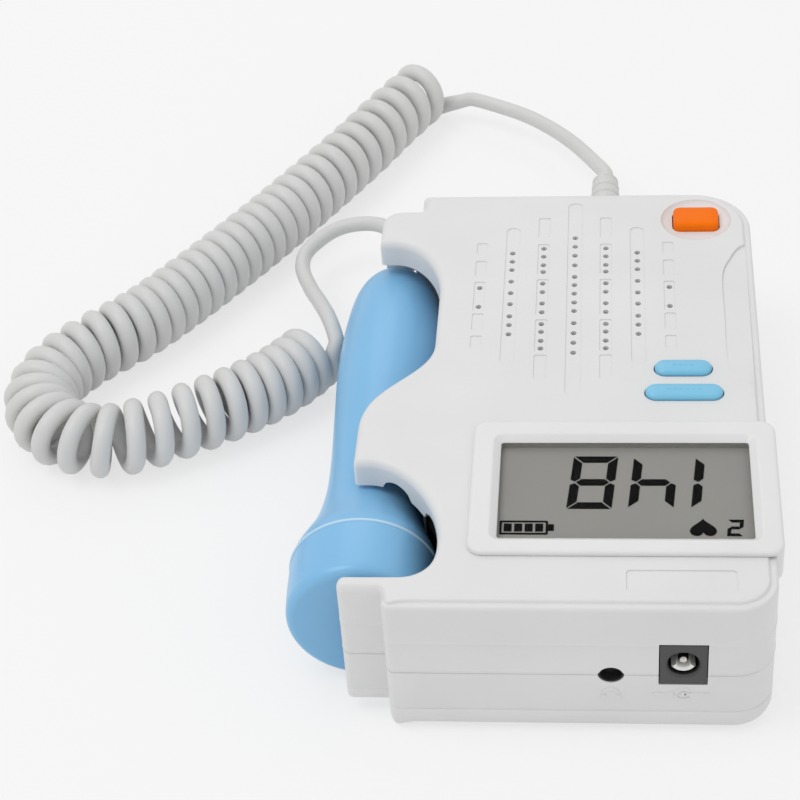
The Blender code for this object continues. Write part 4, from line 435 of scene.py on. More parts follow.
def case_outline(cradle):
    """Outline of a case half against the clock from its near left corner. The upper half is scooped out
    along the handle, the lower half keeps a cradle there."""
    if cradle:
        inner = [corner(-46.5, -26.6, 1.0, 180)]
    else:
        inner = [
            corner(-46.5, 48.6, 1.0, 180),
            plain(bezier((-43.2, 48.6), (-37.0, 48.6), (-31.8, 39.5), (-31.8, 30.0), 26)),
            plain(bezier((-31.8, 13.0), (-31.8, 1.0), (-46.2, -1.0), (-46.2, -15.0), 30)),
            corner(-46.2, -26.6, 1.0, 180),
        ]
    groups = [
        corner(-37.5, -67.5, 1.6, 180),
        plain(arc(29.5, -59.5, 8.0, -90, 0, 20)),
        plain(arc(24.5, 54.5, 13.0, 0, 90, 28)),
        corner(-37.5, 67.5, 1.6, 90),
        plain(arc(-38.3, 62.2, 0.8, 0, -90, 4)),
        plain(arc(-42.0, 56.9, 4.5, 90, 180, 12)),
        *inner,
        plain(HEAD_SCOOP),
        plain(bezier((-27.8, -49.5), (-27.8, -56.5), (-31.0, -59.2), (-37.5, -59.2), 22)[1:]),
        plain(arc(-44.85, -60.85, 1.65, 90, 270, 14)),
        plain(arc(-38.3, -63.3, 0.8, 90, 0, 4)),
    ]
    links = [plain(straight(a[-1, :2], b[0, :2])) for a, b in zip(groups, groups[1:] + groups[:1])]
    return np.vstack([part for pair in zip(groups, links) for part in pair])


def case_rings(outline, sharp, soft):
    """Rings of a case half from two lists of (inset, height), one for the block and one for the dock,
    blended along the left side. An ordinary point moves in along the outline's normal by the inset. At a
    tight corner the arc shrinks to no less than 0.15 mm, and then its middle moves in along the diagonal.
    On the guard's thin arm the insets are scaled down to 1.4 mm at most."""
    points, away, vertex, diagonal, radius = np.split(outline, (2, 4, 6, 8), axis=1)
    step = np.roll(points, -1, axis=0) - points
    step /= np.linalg.norm(step, axis=1)[:, None]
    step += np.roll(step, 1, axis=0)
    step /= np.linalg.norm(step, axis=1)[:, None]
    normal = np.stack([step[:, 1], -step[:, 0]], axis=1)
    x, y = points.T
    ease = np.clip((65.2 - np.abs(y)) / 2.2, 0, 1)
    dock = np.where(x < -27, ease * ease * (3 - 2 * ease), 0)
    sharp, soft = np.array(sharp, float), np.array(soft, float)
    inset, height = ((1 - dock) * sharp[:, k, None] + dock * soft[:, k, None] for k in (0, 1))
    thin = 1 - (1 - 1.4 / inset.max()) * np.clip((-33 - x) / 3, 0, 1) * (y < -57)
    inset = (inset * thin)[:, :, None]
    left = np.maximum(radius - inset, 0.15)
    moved = vertex + (inset + left) * diagonal + left * away
    flat = np.where(radius > 0, moved, points - inset * normal)
    return np.dstack([flat, height])


def at_height(plan, height):
    """Flat outline as a ring at one height."""
    return np.column_stack([plan, np.full(len(plan), height)])


def prism(outline, low, high):
    """Straight-sided solid over a flat outline, as two equal rings."""
    outline = np.asarray(outline, float)
    return np.stack([at_height(outline, low), at_height(outline, high)])


def wall_prism(outline, inner, outer):
    """Straight-sided solid over an outline of (x, z) pairs seen from the near side, from one depth out to
    another."""
    x, z = np.asarray(outline, float).T
    return np.stack([np.column_stack([x, np.full(len(x), y), z]) for y in (inner, outer)])


def rounded(left, near, right, far, radius, steps=6):
    """Rectangle with its corners rounded, against the clock from its near right corner."""
    corners = ((right - radius, near + radius), (right - radius, far - radius))
    corners += ((left + radius, far - radius), (left + radius, near + radius))
    return np.vstack([arc(*c, radius, a, a + 90, steps) for c, a in zip(corners, (-90, 0, 90, 180))])


def slab(left, near, right, far, radius, steps, low, high):
    """Closed skin of a flat rounded rectangle between two heights."""
    return skin(prism(rounded(left, near, right, far, radius, steps), low, high))


def cutter(name, *skins):
    """One mesh of several closed skins, to be cut from a piece."""
    points, faces, first = [], [], 0
    for skin_points, skin_faces in skins:
        points.append(skin_points)
        faces += [[first + i for i in face] for face in skin_faces]
        first += len(skin_points)
    return new_piece(name, np.vstack(points), faces)


def shape(piece, cutters, operation="DIFFERENCE", crease=40):
    """Cut the given meshes from a piece, or join them to it, one after another, and weld the result."""
    for tool in cutters:
        step = piece.modifiers.new(tool.name, "BOOLEAN")
        step.operation, step.solver, step.object = operation, "EXACT", tool
    result = bpy.data.meshes.new_from_object(piece.evaluated_get(bpy.context.evaluated_depsgraph_get()))
    piece.modifiers.clear()
    piece.data = result
    welded = bmesh.new()
    welded.from_mesh(result)
    bmesh.ops.remove_doubles(welded, verts=welded.verts, dist=2e-6)
    bmesh.ops.dissolve_degenerate(welded, dist=1e-6, edges=welded.edges)
    welded.to_mesh(result)
    welded.free()
    result.shade_smooth()
    result.set_sharp_from_angle(angle=math.radians(crease))
    for tool in cutters:
        bpy.data.objects.remove(tool)
    return piece


# Angles of a quarter turn, for rounded edges
quarter = np.linspace(0, np.pi / 2, 11)
# Inset and height of the block's side from the seam up: a fine bead over the seam, another at 24.8, and the
# double step at the top edge
block_side = [(0.2, 16.42), (0.0, 16.62), (0.0, 17.0), (-0.12, 17.25), (-0.12, 17.5), (0.0, 17.8)]
block_side += [(0.0, 24.1), (0.0, 24.3), (-0.12, 24.55), (-0.12, 24.8), (0.0, 25.1), (0.0, 25.3)]
block_side += [(0.0, 32.9), (0.0, 33.5), (0.05, 33.9), (0.2, 34.22), (0.45, 34.38), (0.75, 34.42)]
block_side += [(1.35, 34.32), (1.5, 34.38), (1.6, 34.6), (1.72, 34.85), (1.9, 34.97), (2.1, 35.0)]
block_side += [(2.4, 35.0)]
dock_side = block_side[:12] + [(0.0, 32.0)]
dock_side += [(1.7 * (1 - math.cos(a)), 32.9 + 2.1 * math.sin(a)) for a in quarter] + [(2.0, 35.0)]
upper_case = new_piece("upper_case", *skin(case_rings(case_outline(False), block_side, dock_side)))

cavity_plan = [(-35.5, -65.5), *arc(29.5, -59.5, 6.0, -90, 0, 8), *arc(24.5, 54.5, 11.0, 0, 90, 12)]
cavity_plan += [(-35.5, 65.5), (-35.5, 59.8), (-29.4, 59.8), (-29.4, -26.5), (-25.4, -35.5), (-25.4, -61.2)]
cavity_plan += [(-35.5, -61.2)]
pocket_plan = [(-60.2, -54.0), (-27.4, -54.0), (-27.4, -36.5), (-31.4, -27.5), (-31.4, 57.8), (-60.2, 57.8)]
# Relief of the grille: shallow pills in seven columns, as (column, far end, near end, width)
COLUMNS = (-22.9, -16.0, -9.0, -2.0, 4.9, 11.9, 18.8)
pills = [(3, 63.2, -5.9, 3.4, 1.6)]
pills += [(k, 53.7, 4.4, 3.2, 1.5) for k in (1, 5)]
pills += [
    (k, a, b, 2.7, 0.5)
    for k in (2, 4)
    for a, b in ((57.5, 49.7), (47.4, 35.8), (34.2, 21.2), (19.8, 8.6), (7.6, -0.4))
]
pills += [
    (k, a, b, 2.5, 0.5)
    for k in (0, 6)
    for a, b in ((47.9, 43.7), (41.2, 35.3), (33.4, 22.8), (22.0, 16.2), (14.2, 9.9))
]
relief = cutter(
    "grille_relief",
    *[slab(COLUMNS[k] - w / 2, b, COLUMNS[k] + w / 2, a, r, 5, 34.78, 36) for k, a, b, w, r in pills],
)
dots = {
    3: (49.9, 46.6, 43.2, 39.6, 35.3, 32.3, 29.2, 26.0, 23.0, 18.7, 15.2, 11.9, 8.5),
    2: (45.9, 42.9, 39.7, 37.2, 32.9, 29.8, 25.7, 22.6, 18.4, 15.7, 12.6, 10.0),
    1: (44.2, 41.1, 38.0, 33.7, 29.5, 25.5, 21.2, 18.1, 14.9),
    0: (31.4, 24.6),
}
spots = np.array([(COLUMNS[c], y) for k, column in dots.items() for c in {k, 6 - k} for y in column])
around = np.linspace(0, 2 * np.pi, 12, endpoint=False)
hole = np.stack([0.66 * np.cos(around), 0.72 * np.sin(around)], axis=1)
sound_holes = cutter("sound_holes", *[skin(prism(spot + hole, 32.0, 36.0)) for spot in spots])
pockets = [
    new_piece("case_room", *skin(prism(cavity_plan, 15.5, 33.0))),
    new_piece("probe_room", *skin(prism(pocket_plan, 15.4, 28.4))),
]
grip_line = ((42.0, -6.0), (38.5, -5.2), (35.2, -3.2), (32.3, -0.2), (30.9, 2.8), (30.4, 6.9), (30.4, 20.0))
grip_line += ((30.5, 35.4), (32.5, 42.1), (34.3, 45.6), (36.4, 47.0), (42.0, 47.6))
grip_plan = smooth_path(grip_line, 1.0)[0][::-1]
# The recess at the right is 0.6 mm deep at its far end, and its floor rises almost to the top at its near end
grip_cut = prism(grip_plan, 34.4, 36.0)
grip_cut[0, :, 2] += 0.0105 * (47.6 - grip_plan[:, 1])
# The scoop's wall is notched from below in two bites, with a nib left between them
step_along = np.gradient(HEAD_SCOOP, axis=0)
step_along /= np.linalg.norm(step_along, axis=1)[:, None]
into_wall = np.stack([-step_along[:, 1], step_along[:, 0]], axis=1)


def bite(first, last, near, depth, floor, top, ends=28.6):
    """Loft along a stretch of the scoop's edge: a box section from near to depth behind the edge, whose top
    rises from its height at both ends to its full height as the root of a half sine."""
    edge, inward = HEAD_SCOOP[first:last], into_wall[first:last]
    rise_share = np.sqrt(np.sin(np.linspace(0, np.pi, len(edge))).clip(0))
    high = ends + (top - ends) * rise_share
    sides = ((near, None), (depth, None), (depth, high), (near, high))
    low = np.full(len(edge), floor)
    columns = [np.column_stack([edge + d * inward, low if z is None else z]) for d, z in sides]
    return skin(np.stack(columns, axis=1))


# First and last point along the edge, depth, top, and the bottom of the black sheet of painted shade behind
# the bite
BITES = ((4, 14, 3.4, 30.7, 28.3), (18, 31, 1.4, 32.0, 25.1))
bites = [bite(a, b, -0.8, depth, 25.0, top) for a, b, depth, top, _ in BITES]
painted_shade_backs = [bite(a, b, depth - 0.5, depth - 0.02, low, top - 0.02) for a, b, depth, top, low in BITES]
openings = [
    new_piece("display_opening", *slab(-17.9, -50.7, 35.3, -19.3, 0.8, 3, 32.0, 36.0)),
    new_piece("grip_recess", *skin(grip_cut)),
    cutter("scoop_bites", *bites),
    new_piece("plate_recess", *slab(8.8, -63.4, 29.8, -57.5, 0.9, 5, 34.75, 36.0)),
    relief,
    sound_holes,
]
bowl = [(0.3, 34.15), (5.9, 34.15), (6.6, 34.2), (7.2, 34.35), (7.65, 34.6), (7.9, 34.9), (8.05, 35.2)]
bowl += [(8.05, 37)]
openings.append(new_piece("key_bowl", *skin(lathe(bowl, (25.3, 56.4, 0), "Z", 64))))
key_holes = cutter(
    "key_holes",
    slab(19.95, 52.85, 30.65, 60.55, 1.85, 5, 32.0, 34.6),
    slab(14.9, 0.15, 27.3, 5.25, 2.54, 8, 32.0, 36.0),
    slab(12.85, -7.75, 29.35, -2.65, 2.54, 8, 32.0, 36.0),
)
openings.append(key_holes)
# Outline of the earphone hole about its own middle, two arcs that meet in points at the sides
JACK_X, JACK_Z = 5.9, 16.5
LENS = np.vstack([arc(0, -0.56, 2.66, 12.2, 167.8, 14), arc(0, 0.56, 2.66, 192.2, 347.8, 14)[1:-1]])


def wall_cutters():
    """Openings that both case halves share at the seam: the earphone lens, the power socket, the cord
    outlet and the slot for the probe's strain relief."""
    return [
        new_piece("lens_hole", *skin(wall_prism(LENS + (JACK_X, JACK_Z), -64.0, -69.0))),
        new_piece("socket_hole", *slab(15.0, -70.0, 24.4, -64.0, 0.05, 1, 14.0, 25.0)),
        new_piece("outlet_hole", *skin(lathe([(3.5, 64.0), (3.5, 70.0)], OUTLET_MIDDLE, sides=32))),
        new_piece("relief_slot", *slab(-48.0, 56.8, -39.6, 63.0, 0.05, 1, 12.0, 20.0)),
    ]


shape(upper_case, pockets)
shape(upper_case, openings)
shape(upper_case, wall_cutters())
finish(upper_case, case_plastic, "unit", "case_top", "top_shell")

# Lower case half
# The same plastic: the floor, the cradle under the probe, deep round bottom edges and a fine groove above
# them. Screws go up into the upper half through four wells, and the battery door closes the channel
# underneath.


def box(left, near, right, far, low, high):
    """Closed skin of a plain rectangle between two heights."""
    return skin(prism([(left, near), (right, near), (right, far), (left, far)], low, high))


round_low = [(2.7 * (1 - math.sin(a)), 0.8 + 3.6 * (1 - math.cos(a))) for a in quarter]
lower_side = [(3.1, 0.8), *round_low, (0.0, 5.9), (0.05, 6.1), (0.22, 6.25), (0.22, 6.45), (0.05, 6.65)]
lower_side += [(0.0, 6.85), (0.0, 16.2), (0.16, 16.38)]
lower_case = new_piece("lower_case", *skin(case_rings(case_outline(True), lower_side, lower_side)))
SCREWS = ((31.0, -61.0), (32.0, 47.0), (-22.4, -61.5), (-25.8, 60.5))
FEET = ((28.0, -47.0), (28.0, 30.0), (-18.0, -49.0), (-37.0, 50.0))
lower_rooms = [
    new_piece("lower_room", *skin(prism(cavity_plan, 2.8, 17.5))),
    new_piece("cradle_room", *skin(prism(pocket_plan, 4.3, 17.5))),
    new_piece("guard_cut", *box(-48, -63.5, -37.5, -58.2, -1.0, 4.0)),
]
screw_tubes = [
    new_piece(f"tube_{k}", *skin(lathe([(4.2, 1.8), (4.2, 16.35)], (x, y, 0), "Z")))
    for k, (x, y) in enumerate(SCREWS)
]
well = [(3.0, -0.5), (3.0, 13.35), (1.65, 13.35), (1.65, 17.5)]
lower_holes = [
    cutter("screw_wells", *[skin(lathe(well, (x, y, 0), "Z", 32)) for x, y in SCREWS]),
    cutter("foot_seats", *[skin(lathe([(4.3, -0.5), (4.3, 1.9)], (x, y, 0), "Z", 32)) for x, y in FEET]),
    new_piece("door_slot", *box(-19.8, 0.7, 16.8, 69.0, -0.5, 3.1)),
    new_piece("door_groove", *box(-20.8, -0.3, 17.8, 70.0, 1.8, 3.4)),
]
shape(lower_case, lower_rooms)
shape(lower_case, screw_tubes, "UNION")
shape(lower_case, lower_holes)
shape(lower_case, wall_cutters())
finish(lower_case, case_plastic, "unit", "case_bottom", "bottom_shell")

# Display frame
# Moulded ABS bezel pressed into the upper half: a soft raised rim, a bevel down to the window, a collar
# through the opening and a lip that wraps over the right edge.
OUTER = (-21.8, -54.0, 39.0, -15.2)
SIGHT = (-16.2, -49.0, 33.6, -21.0)


def frame_ring(edges, radius, grow, height, steps=8, least=0.1):
    """Rounded rectangle at a height, its edges moved out by grow and its corner radius grown as much, but
    never under the least."""
    left, near, right, far = edges
    bend = max(radius + grow, least)
    return at_height(rounded(left - grow, near - grow, right + grow, far + grow, bend, steps), height)


bezel_rings = [frame_ring(OUTER, 3.0, -d, z) for d, z in ((0.25, 35.03), (0.0, 35.2), (0.0, 35.55))]
for a in quarter[2:]:
    bezel_rings.append(frame_ring(OUTER, 3.0, 0.75 * (math.cos(a) - 1), 35.55 + 0.65 * math.sin(a)))
bezel_rings += [frame_ring(OUTER, 3.0, -1.1, 36.2)]
bezel_rings += [
    frame_ring(SIGHT, 0.6, d, z)
    for d, z in (
        (2.0, 36.2), (1.7, 36.2), (1.5, 36.17), (1.35, 36.08), (0.25, 35.3), (0.08, 35.16), (0.0, 35.06),
        (0.45, 35.03), (0.5, 31.5), (1.4, 31.5), (1.42, 35.03),
    )
]
bezel = new_piece("display_bezel", *skin(np.stack(bezel_rings), loop=True))
lip_stack = []
for d, z in ((0.9, 28.0), (0.35, 28.12), (0.08, 28.45), (0.0, 28.95), (0.0, 35.7)):
    near_corner, far_corner = arc(36.0, -51.0, 3.0 - d, -62, 0, 6), arc(36.0, -18.2, 3.0 - d, 0, 62, 6)
    plan = np.vstack([near_corner, far_corner, [(36.6, -16.2), (36.6, -53.0)]])
    lip_stack.append(at_height(plan, z))
lip = new_piece("bezel_lip", *skin(np.stack(lip_stack)))
shape(bezel, [lip], "UNION")
bezel_plastic = moulded("moulded_abs_bezel", "#E6E6E6", 0.36, depth=0.008)
finish(bezel, bezel_plastic, "unit", "case_top", "display_frame")

# Display
# A reflective liquid crystal cell under a clear acrylic window. The cell is a warm grey where it is off, and
# its black figures are thin film in seven segments. Rubber strips carry the signals down to the driver
# board.
# An anti-glare coat leaves little of the sky on the window
acrylic, tree, shader = new_material("clear_acrylic_window", "#141615", 0.06, gloss=0.15)
shader.inputs["Alpha"].default_value = 0.06
shader.inputs["IOR"].default_value = 1.49
acrylic.surface_render_method = "BLENDED"
place = add_node(tree, "TexCoord").outputs["Object"]
haze = add_node(tree, "TexNoise", {"Vector": place, "Scale": 1000 / 9.0, "Detail": 2})
smear = add_node(tree, "MapRange", {"Value": haze.outputs["Fac"], "To Min": 0.04, "To Max": 0.09})
tree.links.new(smear.outputs["Result"], shader.inputs["Roughness"])

cell_grey, tree, shader = new_material("liquid_crystal_polariser", "#A3A29D", 0.5, gloss=0.2)
mixed = add_node(tree, "HueSaturation", {"Color": linear("#A3A29D")})
place = add_node(tree, "TexCoord").outputs["Object"]
mist = add_node(tree, "TexNoise", {"Vector": place, "Scale": 1000 / 14.0, "Detail": 1})
drift = add_node(tree, "MapRange", {"Value": mist.outputs["Fac"], "To Min": 0.97, "To Max": 1.03})
tree.links.new(drift.outputs["Result"], mixed.inputs["Value"])
tree.links.new(mixed.outputs["Color"], shader.inputs["Base Color"])

# A grey foam gasket stands between the window's edge and the bezel, level with the cell
gasket_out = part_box("display_window")[1][1] * 1000 - SIGHT[3] + 0.02
gasket_section = ((0.43, 34.95), (gasket_out, 34.95), (gasket_out, 33.72), (0.43, 33.72))
gasket_rings = np.stack([frame_ring(SIGHT, 0.6, d, z) for d, z in gasket_section])
finished_piece("display_gasket", gasket_rings, cell_grey, "unit", "lcd", loop=True)

figure_black = moulded(
    "liquid_crystal_segment", "#0C0C0B", 0.6, grain=2.0, depth=0.001, mottle=0.15, gloss=0.05
)
FIGURE_Z = (33.72, 33.8)


def segments(middle, width, height, stroke, gap, on, slant):
    """Seven-segment figure as closed skins: each segment is a bar whose ends are cut at 45 degrees, a gap
    away from its neighbours, and x leans with y by the slant."""
    w, h, s = width / 2, height / 2, stroke / 2
    bars = {
        "top": [(-w + gap, h), (w - gap, h), (w - stroke - gap, h - stroke), (-w + stroke + gap, h - stroke)],
        "middle": [(-w + s + gap, 0), (-w + stroke + gap, s), (w - stroke - gap, s), (w - s - gap, 0)],
    }
    bars["middle"] += [(w - stroke - gap, -s), (-w + stroke + gap, -s)]
    bars["upper_left"] = [(-w, h - gap), (-w + stroke, h - stroke - gap), (-w + stroke, s + gap)]
    bars["upper_left"] += [(-w + s, gap), (-w, s * 0.6 + gap)]
    bars["upper_right"] = [(-x, y) for x, y in bars["upper_left"]]
    bars["lower_left"] = [(x, -y) for x, y in bars["upper_left"]]
    bars["lower_right"] = [(-x, -y) for x, y in bars["upper_left"]]
    bars["bottom"] = [(x, -y) for x, y in bars["top"]]
    skins = []
    for name in on:
        bar = np.array(bars[name], float)
        ring = np.roll(bar, -1, axis=0)
        if (bar[:, 0] * ring[:, 1] - ring[:, 0] * bar[:, 1]).sum() < 0:
            bar = bar[::-1]
        bar = bar + (slant * bar[:, 1])[:, None] * (1, 0) + middle
        skins.append(skin(prism(bar, *FIGURE_Z)))
    return skins


EIGHT = ("top", "middle", "bottom", "upper_left", "upper_right", "lower_left", "lower_right")
CHAIR = ("upper_left", "lower_left", "middle", "lower_right")
STAFF = ("upper_left", "lower_left")
TWO = ("top", "upper_right", "middle", "lower_left", "bottom")
figures = segments((2.3, -31.45), 8.9, 15.5, 1.85, 0.26, EIGHT, 0.09)
figures += segments((14.4, -31.45), 8.9, 14.9, 1.85, 0.26, CHAIR, 0.09)
figures += segments((26.5, -31.45), 8.4, 14.9, 1.85, 0.26, STAFF, 0.09)
figures += segments((30.0, -44.5), 3.0, 4.6, 0.72, 0.04, TWO, 0.09)
outline = rounded(-15.8, -46.6, -6.3, -42.7, 0.3, 2)
hollow = rounded(-15.35, -46.15, -6.75, -43.15, 0.1, 2)
battery_rings = [*prism(outline, *FIGURE_Z), *prism(hollow, *FIGURE_Z)[::-1]]
figures.append(skin(np.stack(battery_rings), loop=True))
figures += [slab(x, -45.75, x + 1.55, -43.55, 0.05, 1, *FIGURE_Z) for x in (-14.95, -12.9, -10.85, -8.8)]
figures.append(slab(-6.28, -45.55, -5.15, -43.7, 0.1, 1, *FIGURE_Z))
t = np.linspace(0, 2 * np.pi, 48, endpoint=False)
heart_height = 13 * np.cos(t) - 5 * np.cos(2 * t) - 2 * np.cos(3 * t) - np.cos(4 * t)
heart = np.stack([16 * np.sin(t) ** 3, heart_height], axis=1)
heart = heart * (-2.6 / 16, -2.5 / 14.5) + (23.8, -44.75)
figures.append(skin(prism(heart[::-1], *FIGURE_Z)))
lcd_figures = cutter("lcd_figures", *figures)
finish(lcd_figures, figure_black, "unit", "lcd")

# Keys
# Glossy moulded ABS caps, each with a flange that keeps it in and a stem down to its switch. The top edge
# is rounded and the face very slightly crowned.


def key_cap(name, edges, radius, least, steps, middle, material, body):
    """Key from its stem up. Each ring is the key's rounded rectangle grown by a margin: the stem is a circle,
    the flange the rectangle plus 0.8, the cap the rectangle with a quarter-round edge and a crowned face."""

    def ring(margin, z):
        return frame_ring(edges, radius, margin, z, steps, least)

    middle = np.array(middle, float)
    toward = ring(0, 0)[:, :2] - middle
    circle = middle + 1.5 * toward / np.linalg.norm(toward, axis=1)[:, None]
    rings = [at_height(circle, 30.4), at_height(circle, 31.9)]
    rings += [ring(0.8, 31.9), ring(0.8, 32.7), ring(0.0, 32.7), ring(0.0, 35.25)]
    rings += [ring(0.9 * (math.cos(a) - 1), 35.25 + 0.8 * math.sin(a)) for a in quarter[1:]]
    rings += [ring(-1.15, 36.09), ring(-1.6, 36.15), ring(-2.0, 36.18), ring(-2.1, 36.185)]
    cap = new_piece(name, *skin(np.stack(rings)), crease=45)
    finish(cap, material, body, "orange_key" if body == "power_button" else "blue_key", body)


orange_plastic = moulded("moulded_abs_orange", "#FC7600", 0.34, depth=0.006, gloss=0.12)
key_plastic = moulded("moulded_abs_pale_blue", "#7FC7E8", 0.3, depth=0.006)
for row in (
    ("orange_key", (20.2, 53.1, 30.4, 60.3), 1.6, 0.2, 8, (25.3, 56.4), orange_plastic, "power_button"),
    ("short_blue_key", (15.15, 0.4, 27.05, 5.0), 2.299, 0.1, 12, (21.1, 2.7), key_plastic, "small_key"),
    ("long_blue_key", (13.1, -7.5, 29.1, -2.9), 2.299, 0.1, 12, (21.1, -5.2), key_plastic, "large_key"),
):
    key_cap(*row)

# Tiny raised dashes along the keys, to be felt
for name, body, y, places in (
    ("short_key_dashes", "small_key", 2.75, (19.2, 20.4, 21.6, 22.8)),
    ("long_key_dashes", "large_key", -5.15, (17.9, 19.2, 20.5, 21.8, 23.1, 24.4)),
):
    bars = [slab(x - 0.4, y - 0.16, x + 0.4, y + 0.16, 0.12, 3, 36.1, 36.25) for x in places]
    finish(cutter(name, *bars), key_plastic, body, "blue_key")

# Probe
# Two shells of satin blue ABS that meet at a fine ring, painted pale as a highlight: the drum-shaped head,
# closed by the acoustic face, and the waisted handle.
probe_blue = moulded("satin_moulded_abs_blue", "#82BEE8", 0.3, grain=0.8, depth=0.008, mottle=0.015)
handle_knots = (
    (-39.9, 15.4), (-38.6, 15.25), (-37.0, 14.85), (-34.0, 13.7), (-30.0, 12.2), (-26.0, 11.2),
    (-21.0, 10.45), (-15.0, 10.05), (-5.0, 10.2), (8.0, 10.8), (22.0, 11.4), (34.0, 11.2), (44.0, 10.4),
    (50.0, 9.3), (54.0, 7.7), (56.2, 6.0),
)
handle_line, _ = smooth_path(handle_knots, 0.8)
head_inner = [(0.4, -52.5), (10.8, -52.5), (13.4, -51.0), (13.4, -40.15)]
head_outer = [(15.15, -40.15), (15.36, -40.35), (15.4, -40.7), (15.4, -42.5), (15.35, -46.0), (15.2, -50.0)]
head_outer += [(15.05, -51.8)]
head_outer += [(15.05 - 1.9 * (1 - math.cos(a)), -51.8 - 2.2 * math.sin(a)) for a in quarter[1:]]
head_outer += [(12.4, -54.0), (0.4, -54.0)]
head_rings = lathe((head_inner + head_outer)[::-1], PROBE_MIDDLE, sides=96)
finished_piece("probe_head", head_rings, probe_blue, "probe", "probe_blue", "probe_head_cap")
handle_outer = [(15.2, -40.05), (15.5, -39.98), (15.56, -39.8), (15.5, -39.62)]
handle_outer += [(r, y) for y, r in handle_line[1:]]
handle_outer += [(5.3, 56.75), (4.6, 57.0), (2.9, 57.0)]
inner_line = handle_line[handle_line[:, 0] < 54.6][::4]
handle_inner = [(13.4, -40.05)] + [(r - 2.0, y) for y, r in inner_line[1:]] + [(2.9, 55.0)]
handle_rings = lathe(handle_outer + handle_inner[::-1], PROBE_MIDDLE, sides=96)
finished_piece("probe_body", handle_rings, probe_blue, "probe", "probe_blue", "probe_handle", loop=True)
# The weld between the two shells stands a hair proud, and its pale colour is a painted highlight along the
# ring
weld_highlight_blue = moulded("weld_bead_painted_highlight", "#BFE0F4", 0.3, grain=0.8, depth=0.01)
weld = [(15.0, -40.35), (15.45, -40.3), (15.62, -40.15), (15.66, -39.95), (15.62, -39.78), (15.48, -39.66)]
weld += [(15.0, -39.62)]
finished_piece("weld_bead", lathe(weld, PROBE_MIDDLE, sides=96), weld_highlight_blue, "probe", "probe_blue", loop=True)
# Painted shade: a black sheet along the dock's wall and behind the two bites stands in for the deep shade
# between the probe's head and the deck
dock_painted_shade = moulded("black_painted_shade_sheet", "#101010", 0.95, grain=0.5, depth=0.05, mottle=0.3, gloss=0.1)
painted_shade_plan = [(-28.0, -53.5), (-27.45, -53.5), (-27.45, -36.55), (-31.45, -27.6), (-31.45, -20.0)]
painted_shade_plan += [(-32.0, -20.0), (-32.0, -27.7), (-28.0, -36.7)]
painted_shade_strip = cutter("painted_shade_strip", skin(prism(painted_shade_plan, 6.0, 28.2)), *painted_shade_backs)
finish(painted_shade_strip, dock_painted_shade, "unit", "black_plastic")

# Sockets
# The power socket is a dark nylon block with a round bore, a tin-plated spring along the bottom of the bore
# and a centre pin. The spring's near-white colour is partly its pale tin and partly a painted highlight, the
# bright crescent of reflected light. The earphone jack sits dark behind its lens-shaped hole. Raised marks
# below them say what they are for.
nylon = moulded("moulded_nylon_dark_grey", "#484848", 0.5, grain=0.8, depth=0.01, mottle=0.06)
socket_black = moulded("moulded_nylon_black", "#151515", 0.45, grain=0.8, depth=0.01, mottle=0.1)


def plated(name, colour, roughness, streak, metallic=1.0):
    """Plated or rolled metal: fine streaks along Y, the given width in millimetres, that break up the
    gloss."""
    material, tree, shader = new_material(name, colour, roughness, metallic)
    place = add_node(tree, "TexCoord").outputs["Object"]
    drawn = add_node(tree, "Mapping", {"Vector": place, "Scale": (1.0, 0.12, 1.0)})
    grooves = {"Vector": drawn.outputs["Vector"], "Scale": 1000 / streak, "Detail": 3}
    height = add_node(tree, "TexNoise", grooves).outputs["Fac"]
    spread = {"Value": height, "To Min": max(roughness - 0.1, 0.03), "To Max": roughness + 0.12}
    polish = add_node(tree, "MapRange", spread)
    tree.links.new(polish.outputs["Result"], shader.inputs["Roughness"])
    relief = add_node(tree, "Bump", {"Height": height, "Distance": 3e-6, "Strength": 1.0})
    tree.links.new(relief.outputs["Normal"], shader.inputs["Normal"])
    return material


nickel = plated("nickel_plate", "#D2CFC8", 0.2, 0.5)
DC_MIDDLE = (19.7, 0, 19.5)
power_socket = new_piece(
    "power_socket", *skin(wall_prism(rounded(15.2, 14.3, 24.2, 24.7, 0.25, 3), -53.0, -67.5))
)
bore = [(3.45, -68.5), (3.45, -67.45), (3.15, -67.15), (3.15, -57.5)]
shape(power_socket, [new_piece("socket_bore", *skin(lathe(bore, DC_MIDDLE)))])
finish(power_socket, nylon, "unit", "socket_plastic", "dc_jack")
lining = [(3.12, -66.9), (3.12, -57.6), (2.98, -57.6), (2.98, -66.9)]
finished_piece("socket_lining", lathe(lining, DC_MIDDLE), socket_black, "unit", "socket_plastic", loop=True)
# Painted highlight: the spring is near white and barely metallic, so it shows as the bright crescent whatever
# it reflects
tin_and_painted_glint = plated("tin_plate_and_painted_glint", "#F6F6F4", 0.35, 0.5, metallic=0.25)
leaf_angle = np.radians(np.linspace(208, 332, 25))
swing = np.concatenate([leaf_angle, leaf_angle[::-1]])
leaf_rings = []
for y, outer, inner in (
    (-66.7, 2.4, 1.9), (-66.5, 2.6, 1.65), (-65.9, 2.65, 1.5), (-63.0, 2.65, 1.5), (-58.6, 2.97, 2.2),
):
    reach = np.concatenate([np.full(25, outer), np.full(25, inner)])
    leaf = np.stack([reach * np.cos(swing), np.full(50, y), reach * np.sin(swing)], axis=1)
    leaf_rings.append(leaf + DC_MIDDLE)
finished_piece("socket_spring", np.stack(leaf_rings[::-1]), tin_and_painted_glint, "unit", "nickel")
pin = [(0.15, -66.5), (0.55, -66.42), (0.85, -66.2), (1.0, -65.8), (1.0, -57.8), (0.15, -57.8)]
finished_piece("centre_pin", lathe(pin, DC_MIDDLE, sides=32), nickel, "unit", "nickel", "dc_jack_pin")

